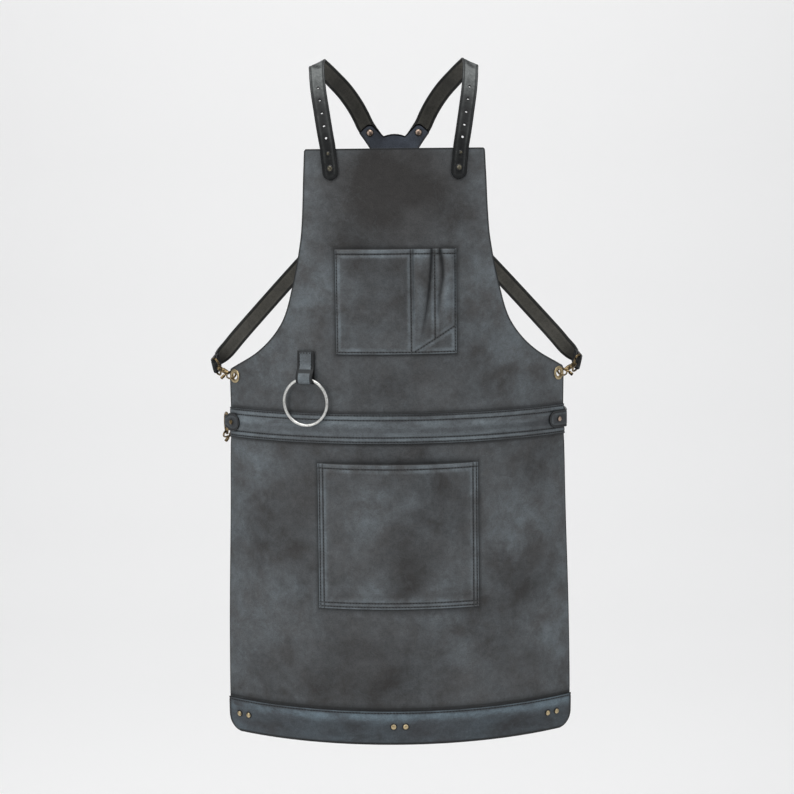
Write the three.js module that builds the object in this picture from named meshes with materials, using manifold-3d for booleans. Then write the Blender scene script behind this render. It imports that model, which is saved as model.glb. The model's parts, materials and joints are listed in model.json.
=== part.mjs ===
// Leather work apron with cross-back straps, shown as it hangs when worn.
// Millimetres, +Z up, the front faces -Y, the wearer's right hand side is -X.
// The origin lies midway between the two places where the straps rest on the shoulders.
import * as THREE from 'three';
import { mergeVertices } from 'three/addons/utils/BufferGeometryUtils.js';
import Module from 'manifold-3d';

const wasm = await Module();
wasm.setup();
const { Manifold, Mesh: SolidMesh } = wasm;
const V = (x, y, z) => new THREE.Vector3(x, y, z);

// Leather thicknesses and the small gap left between stacked layers.
const PANEL_T = 2.0;
const BAND_T = 2.0;
const POCKET_T = 1.6;
const STRAP_T = 2.4;
const TAB_T = 2.2;
const GAP = 0.4;

// Heights of the main seams, measured down from the shoulders.
const BIB_TOP = -126.5;
const BAND_TOP = -514.5;
const BAND_BOTTOM = -560.5;
const HEM_TOP = -963;
const HEM_BOTTOM = -1015;
const BAND_LAP = 16.5;

// Half width of the flat apron at each height: bib, armhole, side edge and rounded hem corner.
const OUTLINE = [
  { z: -126.5, half: 131.5 }, { z: -129.5, half: 133.9 }, { z: -150, half: 135 }, { z: -172, half: 136.1 },
  { z: -200, half: 137.1 }, { z: -245, half: 139.9 }, { z: -278, half: 145 }, { z: -305, half: 150.9 },
  { z: -330, half: 157.5 }, { z: -359, half: 166.3 }, { z: -378, half: 174.8 },
  { z: -394, half: 186 }, { z: -409, half: 200 }, { z: -421, half: 214.5 }, { z: -432, half: 231 },
  { z: -442, half: 250.6 }, { z: -451, half: 270 }, { z: -457, half: 281 }, { z: -466, half: 282.8 },
  { z: -517, half: 282 }, { z: -548, half: 282.6 }, { z: -575, half: 285 }, { z: -620, half: 286 },
  { z: -760, half: 286 }, { z: -900, half: 285 }, { z: -990, half: 283.8 },
  { z: -1000, half: 281.5 }, { z: -1008, half: 275.5 }, { z: -1013, half: 268 }, { z: -1015, half: 261 },
];

// The body the apron hangs on: radius of the wrap and depth of the centre line at each height.
const WRAP = [
  { z: -125, radius: 588 }, { z: -432, radius: 360 }, { z: -572, radius: 360 }, { z: -1003, radius: 421 },
];
const CENTRE = [
  { z: -125, y: -98 }, { z: -292, y: -116 }, { z: -542, y: -118 }, { z: -1003, y: -122 },
];

// Value of one column at a height, with eased or straight steps between the rows.
function column(table, key, z, eased) {
  if (z >= table[0].z) return table[0][key];
  for (let i = 1; i < table.length; i += 1) {
    const [a, b] = [table[i - 1], table[i]];
    if (z >= b.z) {
      const k = (a.z - z) / (a.z - b.z);
      return a[key] + (b[key] - a[key]) * (eased ? k * k * (3 - 2 * k) : k);
    }
  }
  return table[table.length - 1][key];
}
const halfWidth = (z) => column(OUTLINE, 'half', z, false);

// A point of the draped leather: s across the flat sheet, z up, h out from its grain face.
function skin(s, z, h) {
  const r = column(WRAP, 'radius', z, true);
  const a = s / r;
  return V(Math.sin(a) * (r + h), column(CENTRE, 'y', z, true) + r - Math.cos(a) * (r + h), z);
}

// Frame on the draped leather: local X across, local Y straight out, local Z down.
function seat(s, z, h) {
  const a = s / column(WRAP, 'radius', z, true);
  const across = V(Math.cos(a), Math.sin(a), 0);
  const out = V(Math.sin(a), -Math.cos(a), 0);
  return new THREE.Matrix4().makeBasis(across, out, V(0, 0, -1)).setPosition(skin(s, z, h));
}

// Welded, closed, outward facing geometry.
function weld(geometry) {
  geometry.deleteAttribute('normal');
  geometry.deleteAttribute('uv');
  const g = mergeVertices(geometry, 1e-4);
  const p = g.attributes.position;
  const index = g.index.array;
  let volume = 0;
  const [a, b, c] = [V(), V(), V()];
  for (let i = 0; i < index.length; i += 3) {
    a.fromBufferAttribute(p, index[i]);
    b.fromBufferAttribute(p, index[i + 1]);
    c.fromBufferAttribute(p, index[i + 2]);
    volume += a.dot(b.cross(c));
  }
  if (volume < 0) {
    for (let i = 0; i < index.length; i += 3) [index[i], index[i + 1]] = [index[i + 1], index[i]];
  }
  return g;
}

function toSolid(geometry) {
  const g = weld(geometry.clone());
  const mesh = new SolidMesh({
    numProp: 3,
    vertProperties: new Float32Array(g.attributes.position.array),
    triVerts: new Uint32Array(g.index.array),
  });
  return new Manifold(mesh);
}

function toGeometry(solid) {
  const mesh = solid.getMesh();
  const g = new THREE.BufferGeometry();
  const p = new Float32Array(mesh.numVert * 3);
  for (let i = 0; i < mesh.numVert; i += 1) {
    for (let k = 0; k < 3; k += 1) p[i * 3 + k] = mesh.vertProperties[i * mesh.numProp + k];
  }
  g.setAttribute('position', new THREE.BufferAttribute(p, 3));
  g.setIndex(Array.from(mesh.triVerts));
  return g;
}

const unite = (list) => toGeometry(list.map(toSolid).reduce((a, b) => a.add(b)));
const pierce = (geometry, cutters) => toGeometry(
  cutters.map(toSolid).reduce((a, b) => a.subtract(b), toSolid(geometry)),
);

// Closed wall over a grid of columns and rows; place(column, row, t) runs from t=0 outside to t=1.
function wall(columns, rows, place) {
  const [nu, nv] = [columns.length - 1, rows.length - 1];
  const g = new THREE.BoxGeometry(1, 1, 1, nu, 1, nv);
  const p = g.attributes.position;
  for (let i = 0; i < p.count; i += 1) {
    const c = columns[Math.round((p.getX(i) + 0.5) * nu)];
    const r = rows[Math.round((p.getZ(i) + 0.5) * nv)];
    const q = place(c, r, p.getY(i) + 0.5);
    p.setXYZ(i, q.x, q.y, q.z);
  }
  return weld(g);
}

// Even steps from a to b.
const steps = (a, b, n) => Array.from({ length: n + 1 }, (_, i) => a + ((b - a) * i) / n);

// Path of a strap: smooth points with a width direction at each, thinned where it runs straight.
function trace(points, widths) {
  const path = new THREE.CatmullRomCurve3(points, false, 'centripetal');
  const turn = new THREE.CatmullRomCurve3(widths, false, 'centripetal');
  const N = 900;
  const rows = [];
  let length = 0;
  for (let i = 0; i <= N; i += 1) {
    const t = i / N;
    const p = path.getPoint(t);
    const along = path.getTangent(t);
    const w = turn.getPoint(t);
    w.addScaledVector(along, -w.dot(along)).normalize();
    if (i) length += p.distanceTo(rows[i - 1].p);
    rows.push({ p, w, along, out: along.clone().cross(w), d: length });
  }
  const kept = [rows[0]];
  let cost = 0;
  for (let i = 1; i < N; i += 1) {
    cost += (rows[i].d - rows[i - 1].d) / 42 + rows[i].along.angleTo(rows[i - 1].along) / 0.36;
    cost += rows[i].w.angleTo(rows[i - 1].w) / 0.07;
    if (cost >= 1) {
      kept.push(rows[i]);
      cost = 0;
    }
  }
  kept.push(rows[N]);
  return { rows, kept, length };
}

const nearest = (path, test) => path.rows.reduce((a, b) => (test(b) < test(a) ? b : a));

const NOSE = [0.5, 2.2, 5.5, 11];

// Strap of one thickness along a traced path; a round nose can end it at either side.
function strap(path, width, thick, noses) {
  let rows = path.kept;
  const marks = [];
  if (noses.start) marks.push(...NOSE);
  const ends = noses.finish ? NOSE.map((m) => path.length - m) : [];
  const extra = [...marks, ...ends].map((m) => nearest(path, (r) => Math.abs(r.d - m)));
  rows = [...new Set([...rows, ...extra])].sort((a, b) => a.d - b.d);
  const half = (r) => {
    const full = width(r.d / path.length) / 2;
    let near = Infinity;
    if (noses.start) near = Math.min(near, r.d);
    if (noses.finish) near = Math.min(near, path.length - r.d);
    if (near >= full) return full;
    const k = 1 - near / full;
    return full * Math.max(0.3, Math.sqrt(1 - k * k));
  };
  return wall([-1, 1], rows, (c, r, t) => r.p.clone()
    .addScaledVector(r.w, c * half(r))
    .addScaledVector(r.out, (t - 0.5) * thick));
}

// Round bar along a line of points.
function tube(curve, radius, sides, segments) {
  const disc = new THREE.Shape();
  for (let i = 0; i < sides; i += 1) {
    const a = (i / sides) * Math.PI * 2;
    const [x, y] = [Math.cos(a) * radius, Math.sin(a) * radius];
    if (i) disc.lineTo(x, y); else disc.moveTo(x, y);
  }
  const run = { steps: segments, extrudePath: curve, bevelEnabled: false };
  return weld(new THREE.ExtrudeGeometry(disc, run));
}

const lathe = (profile, sides) => new THREE.LatheGeometry(
  profile.map(([r, y]) => new THREE.Vector2(r, y)), sides,
);
const put = (geometry, matrix) => weld(geometry.clone().applyMatrix4(matrix));
const drill = (matrix, radius, deep) => new THREE.CylinderGeometry(radius, radius, deep, 7)
  .applyMatrix4(matrix);

// Domed rivet: head on the outside, stem through the leather, flat cap behind.
const RIVET = { stem: 1.5, hole: 1.85, dome: 2.6, cap: 0.9 };
function rivet(matrix, head, stack) {
  const back = -stack - 0.5;
  const profile = [
    [0, back - RIVET.cap], [head * 0.8, back - RIVET.cap], [head * 0.8, back], [RIVET.stem, back],
    [RIVET.stem, 0.3], [head, 0.3], [head * 0.92, 0.3 + RIVET.dome * 0.45],
    [head * 0.55, 0.3 + RIVET.dome * 0.86], [0, 0.3 + RIVET.dome],
  ];
  return put(lathe(profile, 8), matrix);
}

const group = new THREE.Group();
group.name = 'work_apron';
const COLOURS = {
  panel: { color: '#4a4c4e', roughness: 0.62, metalness: 0 },
  band: { color: '#4e5862', roughness: 0.6, metalness: 0 },
  strap: { color: '#353633', roughness: 0.66, metalness: 0 },
  brass: { color: '#96784b', roughness: 0.36, metalness: 1 },
  copper: { color: '#be9a7c', roughness: 0.34, metalness: 1 },
  steel: { color: '#dcdcd8', roughness: 0.28, metalness: 1 },
};
function add(name, geometry, colour) {
  const mesh = new THREE.Mesh(geometry, new THREE.MeshStandardMaterial(COLOURS[colour]));
  mesh.name = name;
  group.add(mesh);
}

// Panels, waistband and hem band share their columns so that their layers stay parallel.
const ACROSS = steps(-1, 1, 16);
const sheet = (rows, inset, face, thick) => wall(ACROSS, rows, (c, z, t) => (
  skin(c * (halfWidth(z) - inset), z, face - t * thick)
));
const outlineRows = (low, high) => {
  const between = OUTLINE.map((r) => r.z).filter((z) => z > low && z < high);
  return [low, ...between.reverse(), high];
};

// Hardware places on the flat sheet.
const GROMMET = { s: 271.5, z: -466.7, hole: 5.6, sleeve: 6.5, flange: 10.6 };
const HEM_RIVETS = [-262.5, -245, -10, 8, 237, 254];
const HEM_RIVET_Z = -987;
const WAIST_TAB_RIVET = { s: -276, z: -537 };
const WAIST_STRAP_RIVET = { s: 267, z: -536.5 };
const STUDS = [{ s: 94.5, z: -155, head: 4.2 }, { s: 97, z: -133.5, head: 2.6 }];
const SIDES = [{ name: 'left', k: -1 }, { name: 'right', k: 1 }];

const studDrills = (k) => STUDS.map((p) => drill(seat(k * p.s, p.z, 0), RIVET.hole, 30));
const studHoles = SIDES.flatMap(({ k }) => studDrills(k));
const grommetHoles = SIDES.map(({ k }) => (
  new THREE.CylinderGeometry(GROMMET.sleeve + 0.35, GROMMET.sleeve + 0.35, 20, 14)
    .applyMatrix4(seat(k * GROMMET.s, GROMMET.z, 0))
));
const waistHoles = [WAIST_TAB_RIVET, WAIST_STRAP_RIVET].map((p) => (
  drill(seat(p.s, p.z, 0), RIVET.hole, 40)
));
const hemHoles = HEM_RIVETS.map((s) => drill(seat(s, HEM_RIVET_Z, 0), RIVET.hole, 30));

const bibBottom = BAND_TOP - BAND_LAP;
const skirtTop = BAND_BOTTOM + BAND_LAP;
add('bib_panel', pierce(
  sheet(outlineRows(bibBottom, BIB_TOP), 0, 0, PANEL_T), [...studHoles, ...grommetHoles],
), 'panel');
const skirtRows = [-1001, ...steps(-990, skirtTop, 6)];
add('skirt_panel', pierce(sheet(skirtRows, 0.5, 0, PANEL_T), hemHoles), 'panel');
add('waistband', pierce(
  sheet([BAND_BOTTOM, -537, BAND_TOP], 0, GAP + BAND_T, BAND_T), waistHoles,
), 'band');
add('hem_band', pierce(
  sheet(outlineRows(HEM_BOTTOM, HEM_TOP), 0, GAP + BAND_T, BAND_T), hemHoles,
), 'band');

// A sewn pocket lies on the panel along its seams and stands away from it between them.
const bump = (x, a, b) => {
  const k = (x - a) / (b - a);
  return k <= 0 || k >= 1 ? 0 : Math.sin(Math.PI * k) ** 0.7;
};
const ease = (x) => {
  const k = Math.min(1, Math.max(0, x));
  return k * k * (3 - 2 * k);
};
function pocket(columns, rows, lift) {
  return wall(columns, rows, (s, z, t) => skin(s, z, GAP + lift(s, z) + (1 - t) * POCKET_T));
}

const SKIRT_POCKET = { half: 122, top: -589, bottom: -809, seam: 9, lift: 8 };
const skirtSeam = SKIRT_POCKET.half - SKIRT_POCKET.seam;
add('skirt_pocket', pocket(
  [-122, -skirtSeam, ...steps(-96, 96, 8), skirtSeam, 122],
  [-809, -800, -770, -730, -690, -650, -615, -589],
  (s, z) => SKIRT_POCKET.lift * bump(s, -skirtSeam, skirtSeam)
    * ease((z - SKIRT_POCKET.bottom - SKIRT_POCKET.seam) / 150),
), 'panel');

// Chest pocket: one wide bay and two narrow pen bays above a slanting seam.
const CHEST = { half: 90, top: -272, bottom: -427.5, seam: 6 };
const BAYS = [
  { from: -84, to: 21.5, lift: 7.5, reach: 120 },
  { from: 25, to: 54, lift: 7.2, reach: 70 },
  { from: 58, to: 86.5, lift: 9.2, reach: 60 },
];
const slant = (s) => -424 + (s - 25.8) * 0.62;
add('chest_pocket', pocket(
  [
    -CHEST.half, -84, -72, -52, -31, -8, 8, 17, 21.5, ...steps(25, 50, 5), 54,
    58, ...steps(62, 82, 4), 86.5, CHEST.half,
  ],
  [CHEST.bottom, -420, -408, -395, -380, -360, -335, -310, -288, CHEST.top],
  (s, z) => {
    const bay = BAYS.find((b) => s >= b.from && s <= b.to);
    if (!bay) return 0;
    const floor = bay.from < 0 ? CHEST.bottom + CHEST.seam : slant(s);
    return bay.lift * bump(s, bay.from, bay.to) * ease((z - floor) / bay.reach);
  },
), 'panel');

// Loop of leather folded round a bar: down one face, round the bar and back.
const RING = { s: -136.5, z: -465, h: 6.4, radius: 34.7, wire: 2.3, sag: 1.35, slack: 0.1 };
const RING_TAB = { width: 27, top: -422, tuck: -426, fold: 5.2, thick: 2.0 };
const tabInner = GAP + RING_TAB.thick / 2;
const tabOuter = tabInner + RING_TAB.thick + GAP;
const ringTabProfile = [
  [RING_TAB.top, tabOuter], [-434, tabOuter], [-446, tabOuter + 0.6], [-456, RING.h + 3.6],
  [RING.z + 3, RING.h + RING_TAB.fold],
  ...steps(0, Math.PI, 6).map((a) => [
    RING.z - RING.slack - Math.sin(a) * RING_TAB.fold, RING.h + Math.cos(a) * RING_TAB.fold,
  ]),
  [RING.z + 3, RING.h - RING_TAB.fold], [-452, tabInner], [-440, tabInner],
  [RING_TAB.tuck, tabInner],
];
const ringAcross = V(1, 0, 0).transformDirection(seat(RING.s, RING.z, 0));
const ringTab = trace(
  ringTabProfile.map(([z, h]) => skin(RING.s, z, h)), ringTabProfile.map(() => ringAcross),
);
add('ring_tab', strap(ringTab, () => RING_TAB.width, RING_TAB.thick, {}), 'panel');
const ringTurn = seat(RING.s, RING.z - RING.radius + RING.sag, 0);
ringTurn.setPosition(skin(RING.s, RING.z, RING.h).add(V(0, 0, RING.sag - RING.radius)));
add('tool_ring', put(
  new THREE.TorusGeometry(RING.radius, RING.wire, 7, 30).rotateX(Math.PI / 2), ringTurn,
), 'steel');

// Shoulder straps: from the bib over the shoulder to the yoke between the shoulder blades.
const YOKE = { y: 109, thick: 2.6 };
const yokeFace = YOKE.y - YOKE.thick / 2;
const strapY = YOKE.y + YOKE.thick / 2 + GAP + STRAP_T / 2;
const SHOULDER = [
  { x: 112.2, y: -40, z: -37, w: [-0.97, 0.03, 0.22] },
  { x: 114.6, y: -17, z: -10, w: [-0.93, 0.05, 0.36] },
  { x: 114.5, y: 1, z: 1.6, w: [-0.9, 0.08, 0.42] },
  { x: 106.5, y: 17, z: -5, w: [-0.83, 0.06, 0.55] },
  { x: 93, y: 40, z: -18.5, w: [-0.75, 0.02, 0.66] },
  { x: 76.5, y: 64, z: -36, w: [-0.76, 0, 0.65] },
  { x: 62, y: 88, z: -56, w: [-0.8, 0, 0.6] },
  { x: 51.5, y: 106, z: -75, w: [-0.84, 0, 0.54] },
  { x: 45.5, y: strapY, z: -88, w: [-0.85, 0, 0.53] },
  { x: 38, y: strapY, z: -100, w: [-0.82, 0, 0.57] },
  { x: 29.5, y: strapY, z: -112, w: [-0.8, 0, 0.6] },
];
const STRAP_HOLES = [-37.3, -54.5, -75.5, -93.5, -110.8];
const YOKE_TOP_RIVET = { x: 38, z: -100 };
const strapLift = GAP + STRAP_T / 2;
const yokeRivets = [];
const yokePin = (x, z) => new THREE.Matrix4().makeRotationX(Math.PI).setPosition(V(x, yokeFace, z));
const STRAP_FOOT = [{ s: 93.6, z: -172 }, { s: 94.5, z: -155 }, { s: 96.4, z: -138 }, { s: 97.7, z: -124 }];
SIDES.forEach(({ name, k }) => {
  const onBib = STRAP_FOOT.map((p) => skin(k * p.s, p.z, strapLift));
  const lean = [0.06, 0.08, 0.1, 0.11].map((rise) => V(-k, -0.16, rise));
  const climb = [V(k * 101, -87.4, -104), V(k * 106.6, -68, -71)];
  const path = trace(
    [...onBib, ...climb, ...SHOULDER.map((p) => V(k * p.x, p.y, p.z))],
    [
      ...lean, V(-k, -0.1, 0.13), V(-k, -0.04, 0.17),
      ...SHOULDER.map((p) => V(k * p.w[0], p.w[1], p.w[2])),
    ],
  );
  const holes = STRAP_HOLES.map((z) => {
    const r = nearest(path, (q) => Math.abs(q.p.z - z) + (q.p.y > 0 ? 999 : 0));
    const turn = new THREE.Matrix4().makeBasis(r.w, r.out, r.w.clone().cross(r.out));
    return drill(turn.setPosition(r.p), 1.8, 12);
  });
  const pinned = yokePin(k * YOKE_TOP_RIVET.x, YOKE_TOP_RIVET.z);
  yokeRivets.push({ name: `yoke_rivet_${name}`, matrix: pinned });
  add(`shoulder_strap_${name}`, pierce(
    strap(path, (v) => 23.6 + 4 * ease((v - 0.4) / 0.3), STRAP_T, { start: true }),
    [...holes, ...studDrills(k), drill(pinned, RIVET.hole, 14)],
  ), 'strap');
});

// Trigger snap hook. Its own frame: a runs from the nose ring to the eye, b to the thumb lever.
const HOOK = {
  ring: 7.1, wire: 1.5, barrel: 3.9, neck: 1.6, collar: 3.8, collarAt: 24.4, collarLong: 4.2,
  bar: 38, barWire: 1.6, barHalf: 15.4, tip: 98, gate: 1.3, gateGap: 12, lever: 11, pad: 7.4,
};
const rad = (deg) => (deg * Math.PI) / 180;
const onRing = (deg, r) => V(Math.cos(rad(deg)) * r, Math.sin(rad(deg)) * r, 0);
const smooth = (points) => new THREE.CatmullRomCurve3(points, false, 'centripetal');
function hook(name, spot, a, b, bar) {
  const axis = a.clone().normalize();
  const side = b.clone().addScaledVector(axis, -b.dot(axis)).normalize();
  const frame = new THREE.Matrix4().makeBasis(axis, side, axis.clone().cross(side)).setPosition(spot);
  const along = new THREE.Matrix4().makeRotationZ(-Math.PI / 2);
  const bend = smooth(steps(0, HOOK.tip - 360, 12).map((d) => onRing(d, HOOK.ring)));
  const jaw = tube(bend, HOOK.wire, 6, 15);
  const barrel = lathe([
    [0, HOOK.ring - 0.9], [2.4, HOOK.ring - 0.4], [3.3, 9.6], [HOOK.barrel, 12.5], [HOOK.barrel, 19.5],
    [2.8, 22], [3.2, 24], [HOOK.neck, 24], [HOOK.neck, 29], [2.7, 29], [2.5, 30.8], [0, 31.1],
  ], 8).applyMatrix4(along);
  const slot = new THREE.BoxGeometry(8, 7, 3.4).translate(HOOK.ring + 2.2, 4.6, 0);
  const body = toGeometry(toSolid(unite([jaw, barrel])).subtract(toSolid(slot)));
  add(`${name}_body`, put(body, frame), 'brass');

  const swing = V(HOOK.ring + 0.6, 3.4, 0);
  const reach = steps(40, HOOK.tip - HOOK.gateGap, 3).map((d) => onRing(d, HOOK.ring));
  const arm = tube(smooth([swing.clone(), ...reach]), HOOK.gate, 6, 6);
  const thumb = new THREE.BoxGeometry(2.6, HOOK.lever, 2.8)
    .translate(swing.x + 1.2, swing.y + HOOK.lever / 2 - 0.6, 0);
  const pad = new THREE.BoxGeometry(3.4, HOOK.pad, 4.4)
    .translate(swing.x + 1.2, swing.y + HOOK.lever - HOOK.pad / 2 - 0.6, 0);
  add(`${name}_trigger`, put(unite([arm, thumb, pad]), frame), 'brass');

  const w = bar.clone().addScaledVector(axis, -bar.dot(axis)).normalize();
  const eyeFrame = new THREE.Matrix4().makeBasis(axis, w, axis.clone().cross(w)).setPosition(spot);
  const mid = HOOK.collarAt + HOOK.collarLong / 2;
  const bow = tube(smooth([
    V(mid, 2.9, 0), V(mid + 0.2, 7, 0), V(mid + 1.6, 12.6, 0), V(mid + 4.4, HOOK.barHalf, 0),
    V(HOOK.bar - 2, HOOK.barHalf, 0), V(HOOK.bar, HOOK.barHalf - 2, 0), V(HOOK.bar, 5, 0),
    V(HOOK.bar, -5, 0), V(HOOK.bar, 2 - HOOK.barHalf, 0), V(HOOK.bar - 2, -HOOK.barHalf, 0),
    V(mid + 4.4, -HOOK.barHalf, 0), V(mid + 1.6, -12.6, 0), V(mid + 0.2, -7, 0), V(mid, -2.9, 0),
  ]), HOOK.barWire, 6, 22);
  const [r0, r1, y0, y1] = [HOOK.neck + 0.3, HOOK.collar, HOOK.collarAt, HOOK.collarAt + HOOK.collarLong];
  const collar = lathe([[r0, y0], [r1, y0], [r1, y1], [r0, y1], [r0, y0]], 8).applyMatrix4(along);
  const bore = lathe([[0, y0 - 2], [r0, y0 - 2], [r0, y1 + 2], [0, y1 + 2]], 8).applyMatrix4(along);
  const eye = toGeometry(toSolid(unite([bow, collar])).subtract(toSolid(bore)));
  add(`${name}_eye`, put(eye, eyeFrame), 'brass');
  return { bar: spot.clone().addScaledVector(axis, HOOK.bar), w };
}

// Fold of a strap round a hook's bar, from its sewn tail to its main run.
function fold(bar, w, run, side) {
  const t = run.clone().addScaledVector(w, -run.dot(w)).normalize();
  const n = t.clone().cross(w).multiplyScalar(side);
  const r = HOOK.barWire + 0.35 + STRAP_T / 2;
  const tail = r - STRAP_T - GAP;
  const flat = [
    [15, tail], [12, tail - 0.2], [8, tail - 1.4], [4, -r],
    ...steps(0, Math.PI, 6).map((a) => [-Math.sin(a) * r, -Math.cos(a) * r]),
    [4, r], [8, r], [12, r], [15, r],
  ];
  return flat.map(([f, o]) => bar.clone().addScaledVector(t, f).addScaledVector(n, o));
}

// Side straps: from the hooks at the armhole corners up across the back to the yoke.
const YOKE_LOW_RIVET = { x: 45, z: -201 };
const SIDE_RUN = [
  { x: 262, y: 28.5, z: -432, w: [0.64, -0.14, 0.75] },
  { x: 246, y: 47, z: -413, w: [0.73, -0.03, 0.68] },
  { x: 222, y: 74, z: -386, w: [0.74, -0.02, 0.67] },
  { x: 160, y: 101, z: -318, w: [0.74, 0, 0.67] },
  { x: 104, y: strapY, z: -259, w: [0.73, 0, 0.68] },
  { x: 62, y: strapY, z: -217, w: [0.75, 0, 0.66] },
  { x: 45, y: strapY, z: -201, w: [0.75, 0, 0.66] },
  { x: 36, y: strapY, z: -192.8, w: [0.75, 0, 0.66] },
];
SIDES.forEach(({ name, k }) => {
  const spot = skin(k * 279.4, GROMMET.z + 1, 0);
  const a = V(k * 0.71, 0.62, 0.33);
  const b = V(k * 0.72, -0.52, -0.62);
  const { bar, w } = hook(`side_hook_${name}`, spot, a, b, V(k * 0.14, -0.54, 0.83));
  const loop = fold(bar, w, V(k * -0.44, 0.65, 0.62), k);
  const path = trace(
    [...loop, ...SIDE_RUN.map((p) => V(k * p.x, p.y, p.z))],
    [...loop.map(() => w), ...SIDE_RUN.map((p) => V(k * p.w[0], p.w[1], p.w[2]))],
  );
  const pinned = yokePin(k * YOKE_LOW_RIVET.x, YOKE_LOW_RIVET.z);
  yokeRivets.push({ name: `yoke_lower_rivet_${name}`, matrix: pinned });
  const band = strap(path, () => 25.5, STRAP_T, {});
  add(`side_strap_${name}`, pierce(band, [drill(pinned, RIVET.hole, 14)]), 'strap');
});

// Yoke: a flat cross of leather, its arms lying over the strap ends.
const yokeShape = new THREE.Shape();
yokeShape.moveTo(16.6, -105.2);
yokeShape.lineTo(33.5, -88.5);
yokeShape.quadraticCurveTo(39, -85, 44, -89);
yokeShape.lineTo(54.5, -98.5);
yokeShape.quadraticCurveTo(26, -137, 27, -152);
yokeShape.quadraticCurveTo(28, -164, 60, -190);
yokeShape.lineTo(47, -212);
yokeShape.quadraticCurveTo(43, -217, 37, -213);
yokeShape.lineTo(32, -209);
yokeShape.quadraticCurveTo(12, -186, 0, -185);
yokeShape.quadraticCurveTo(-12, -186, -32, -209);
yokeShape.lineTo(-37, -213);
yokeShape.quadraticCurveTo(-43, -217, -47, -212);
yokeShape.lineTo(-60, -190);
yokeShape.quadraticCurveTo(-28, -164, -27, -152);
yokeShape.quadraticCurveTo(-26, -137, -54.5, -98.5);
yokeShape.lineTo(-44, -89);
yokeShape.quadraticCurveTo(-39, -85, -33.5, -88.5);
yokeShape.lineTo(-16.6, -105.2);
yokeShape.quadraticCurveTo(0, -98.6, 16.6, -105.2);
const plate = { depth: YOKE.thick, bevelEnabled: false, curveSegments: 4 };
const yoke = new THREE.ExtrudeGeometry(yokeShape, plate);
yoke.rotateX(Math.PI / 2).translate(0, YOKE.y + YOKE.thick / 2, 0);
add('back_yoke', pierce(yoke, yokeRivets.map((r) => drill(r.matrix, RIVET.hole, 14))), 'band');
yokeRivets.forEach((r) => add(r.name, rivet(r.matrix, 5.3, YOKE.thick + GAP + STRAP_T), 'copper'));

// Waist tab: folded round the bar of a ring just past the edge of the apron.
const WAIST = {
  z: -537, tabFrom: -259.5, tabTo: -263, tabWidth: 28, taper: 9, ringAt: -291, ringH: 0.2, wire: 1.6,
  bowTop: 0.6,
};
const tabFront = GAP + BAND_T + GAP + TAB_T / 2;
const tabBack = -PANEL_T - 2 * GAP - TAB_T / 2;
const tabRound = WAIST.wire + 0.35 + TAB_T / 2;
const waistTabProfile = [
  [WAIST.tabFrom, tabFront], [-268, tabFront], [-276, tabFront], [-283, tabFront],
  ...steps(0, Math.PI, 6).map((a) => [
    WAIST.ringAt - Math.sin(a) * tabRound, WAIST.ringH + Math.cos(a) * tabRound,
  ]),
  [-283, tabBack], [-276, tabBack], [-268, tabBack], [WAIST.tabTo, tabBack],
];
const waistTab = trace(
  waistTabProfile.map(([s, h]) => skin(s, WAIST.z, h)), waistTabProfile.map(() => V(0, 0, 1)),
);
add('waist_tab', pierce(
  strap(waistTab, (v) => WAIST.tabWidth - WAIST.taper * ease((v - 0.26) / 0.18), TAB_T, { start: true }),
  [waistHoles[0]],
), 'strap');
add('waist_tab_rivet', rivet(
  seat(WAIST_TAB_RIVET.s, WAIST_TAB_RIVET.z, tabFront + TAB_T / 2), 4.2, tabFront - tabBack + TAB_T,
), 'brass');

// Ring in the waist tab: a straight bar in the fold and a bow behind it.
const barFoot = skin(WAIST.ringAt, WAIST.z, WAIST.ringH);
const BOW = [
  { back: 0, up: 19 }, { back: 3, up: 19.8 }, { back: 10, up: 19 },
  { back: 15.5, up: 11 }, { back: 17, up: 0 },
];
const bowBack = V(-0.3, 0.954, 0);
const bowPoint = (back, up) => barFoot.clone().addScaledVector(bowBack, back).add(V(0, 0, up));
const bowLine = [
  ...BOW.map((p) => bowPoint(p.back, p.up * WAIST.bowTop)),
  ...BOW.slice(0, -1).reverse().map((p) => bowPoint(p.back, -p.up)),
];
add('waist_ring', unite([
  tube(smooth(bowLine), WAIST.wire, 6, 20),
  tube(new THREE.LineCurve3(bowPoint(0, 19.4 * WAIST.bowTop), bowPoint(0, -19.4)), WAIST.wire, 6, 1),
]), 'brass');

// Waist strap: from its hook at one side round the back to the other edge of the apron.
const waistAxis = V(0.5, 0.8, -0.33).normalize();
const waistHook = hook(
  'waist_hook', bowPoint(8.5, -19.5).addScaledVector(waistAxis, 2.8), waistAxis,
  V(-0.5, 0.2, -0.84), V(0.1, 0.3, 0.9),
);
const waistLoop = fold(waistHook.bar, waistHook.w, V(0.42, 0.88, -0.06), 1);
const strapFront = GAP + BAND_T + GAP + STRAP_T / 2;
const WAIST_RUN = [
  [-186, 118, -564], [-105, 152, -557], [0, 165, -550], [105, 154, -543], [192, 116, -539], [240, 68, -537],
  [257, 28, -536.5], [259.2, 4, -536.5], [259, -6, -536.5], [258.4, -11.5, -536.5],
];
const waistRun = [
  ...WAIST_RUN.map((p) => V(...p)),
  ...[283.2, 276, 262, 247].map((s) => skin(s, WAIST_STRAP_RIVET.z, strapFront)),
];
const waistPath = trace(
  [...waistLoop, ...waistRun], [...waistLoop.map(() => waistHook.w), ...waistRun.map(() => V(0, 0, 1))],
);
add('waist_strap', pierce(
  strap(waistPath, () => 26.5, STRAP_T, { finish: true }), [waistHoles[1]],
), 'strap');
add('waist_strap_rivet', rivet(
  seat(WAIST_STRAP_RIVET.s, WAIST_STRAP_RIVET.z, strapFront + STRAP_T / 2), 4.2, STRAP_T + GAP + BAND_T,
), 'copper');

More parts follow.
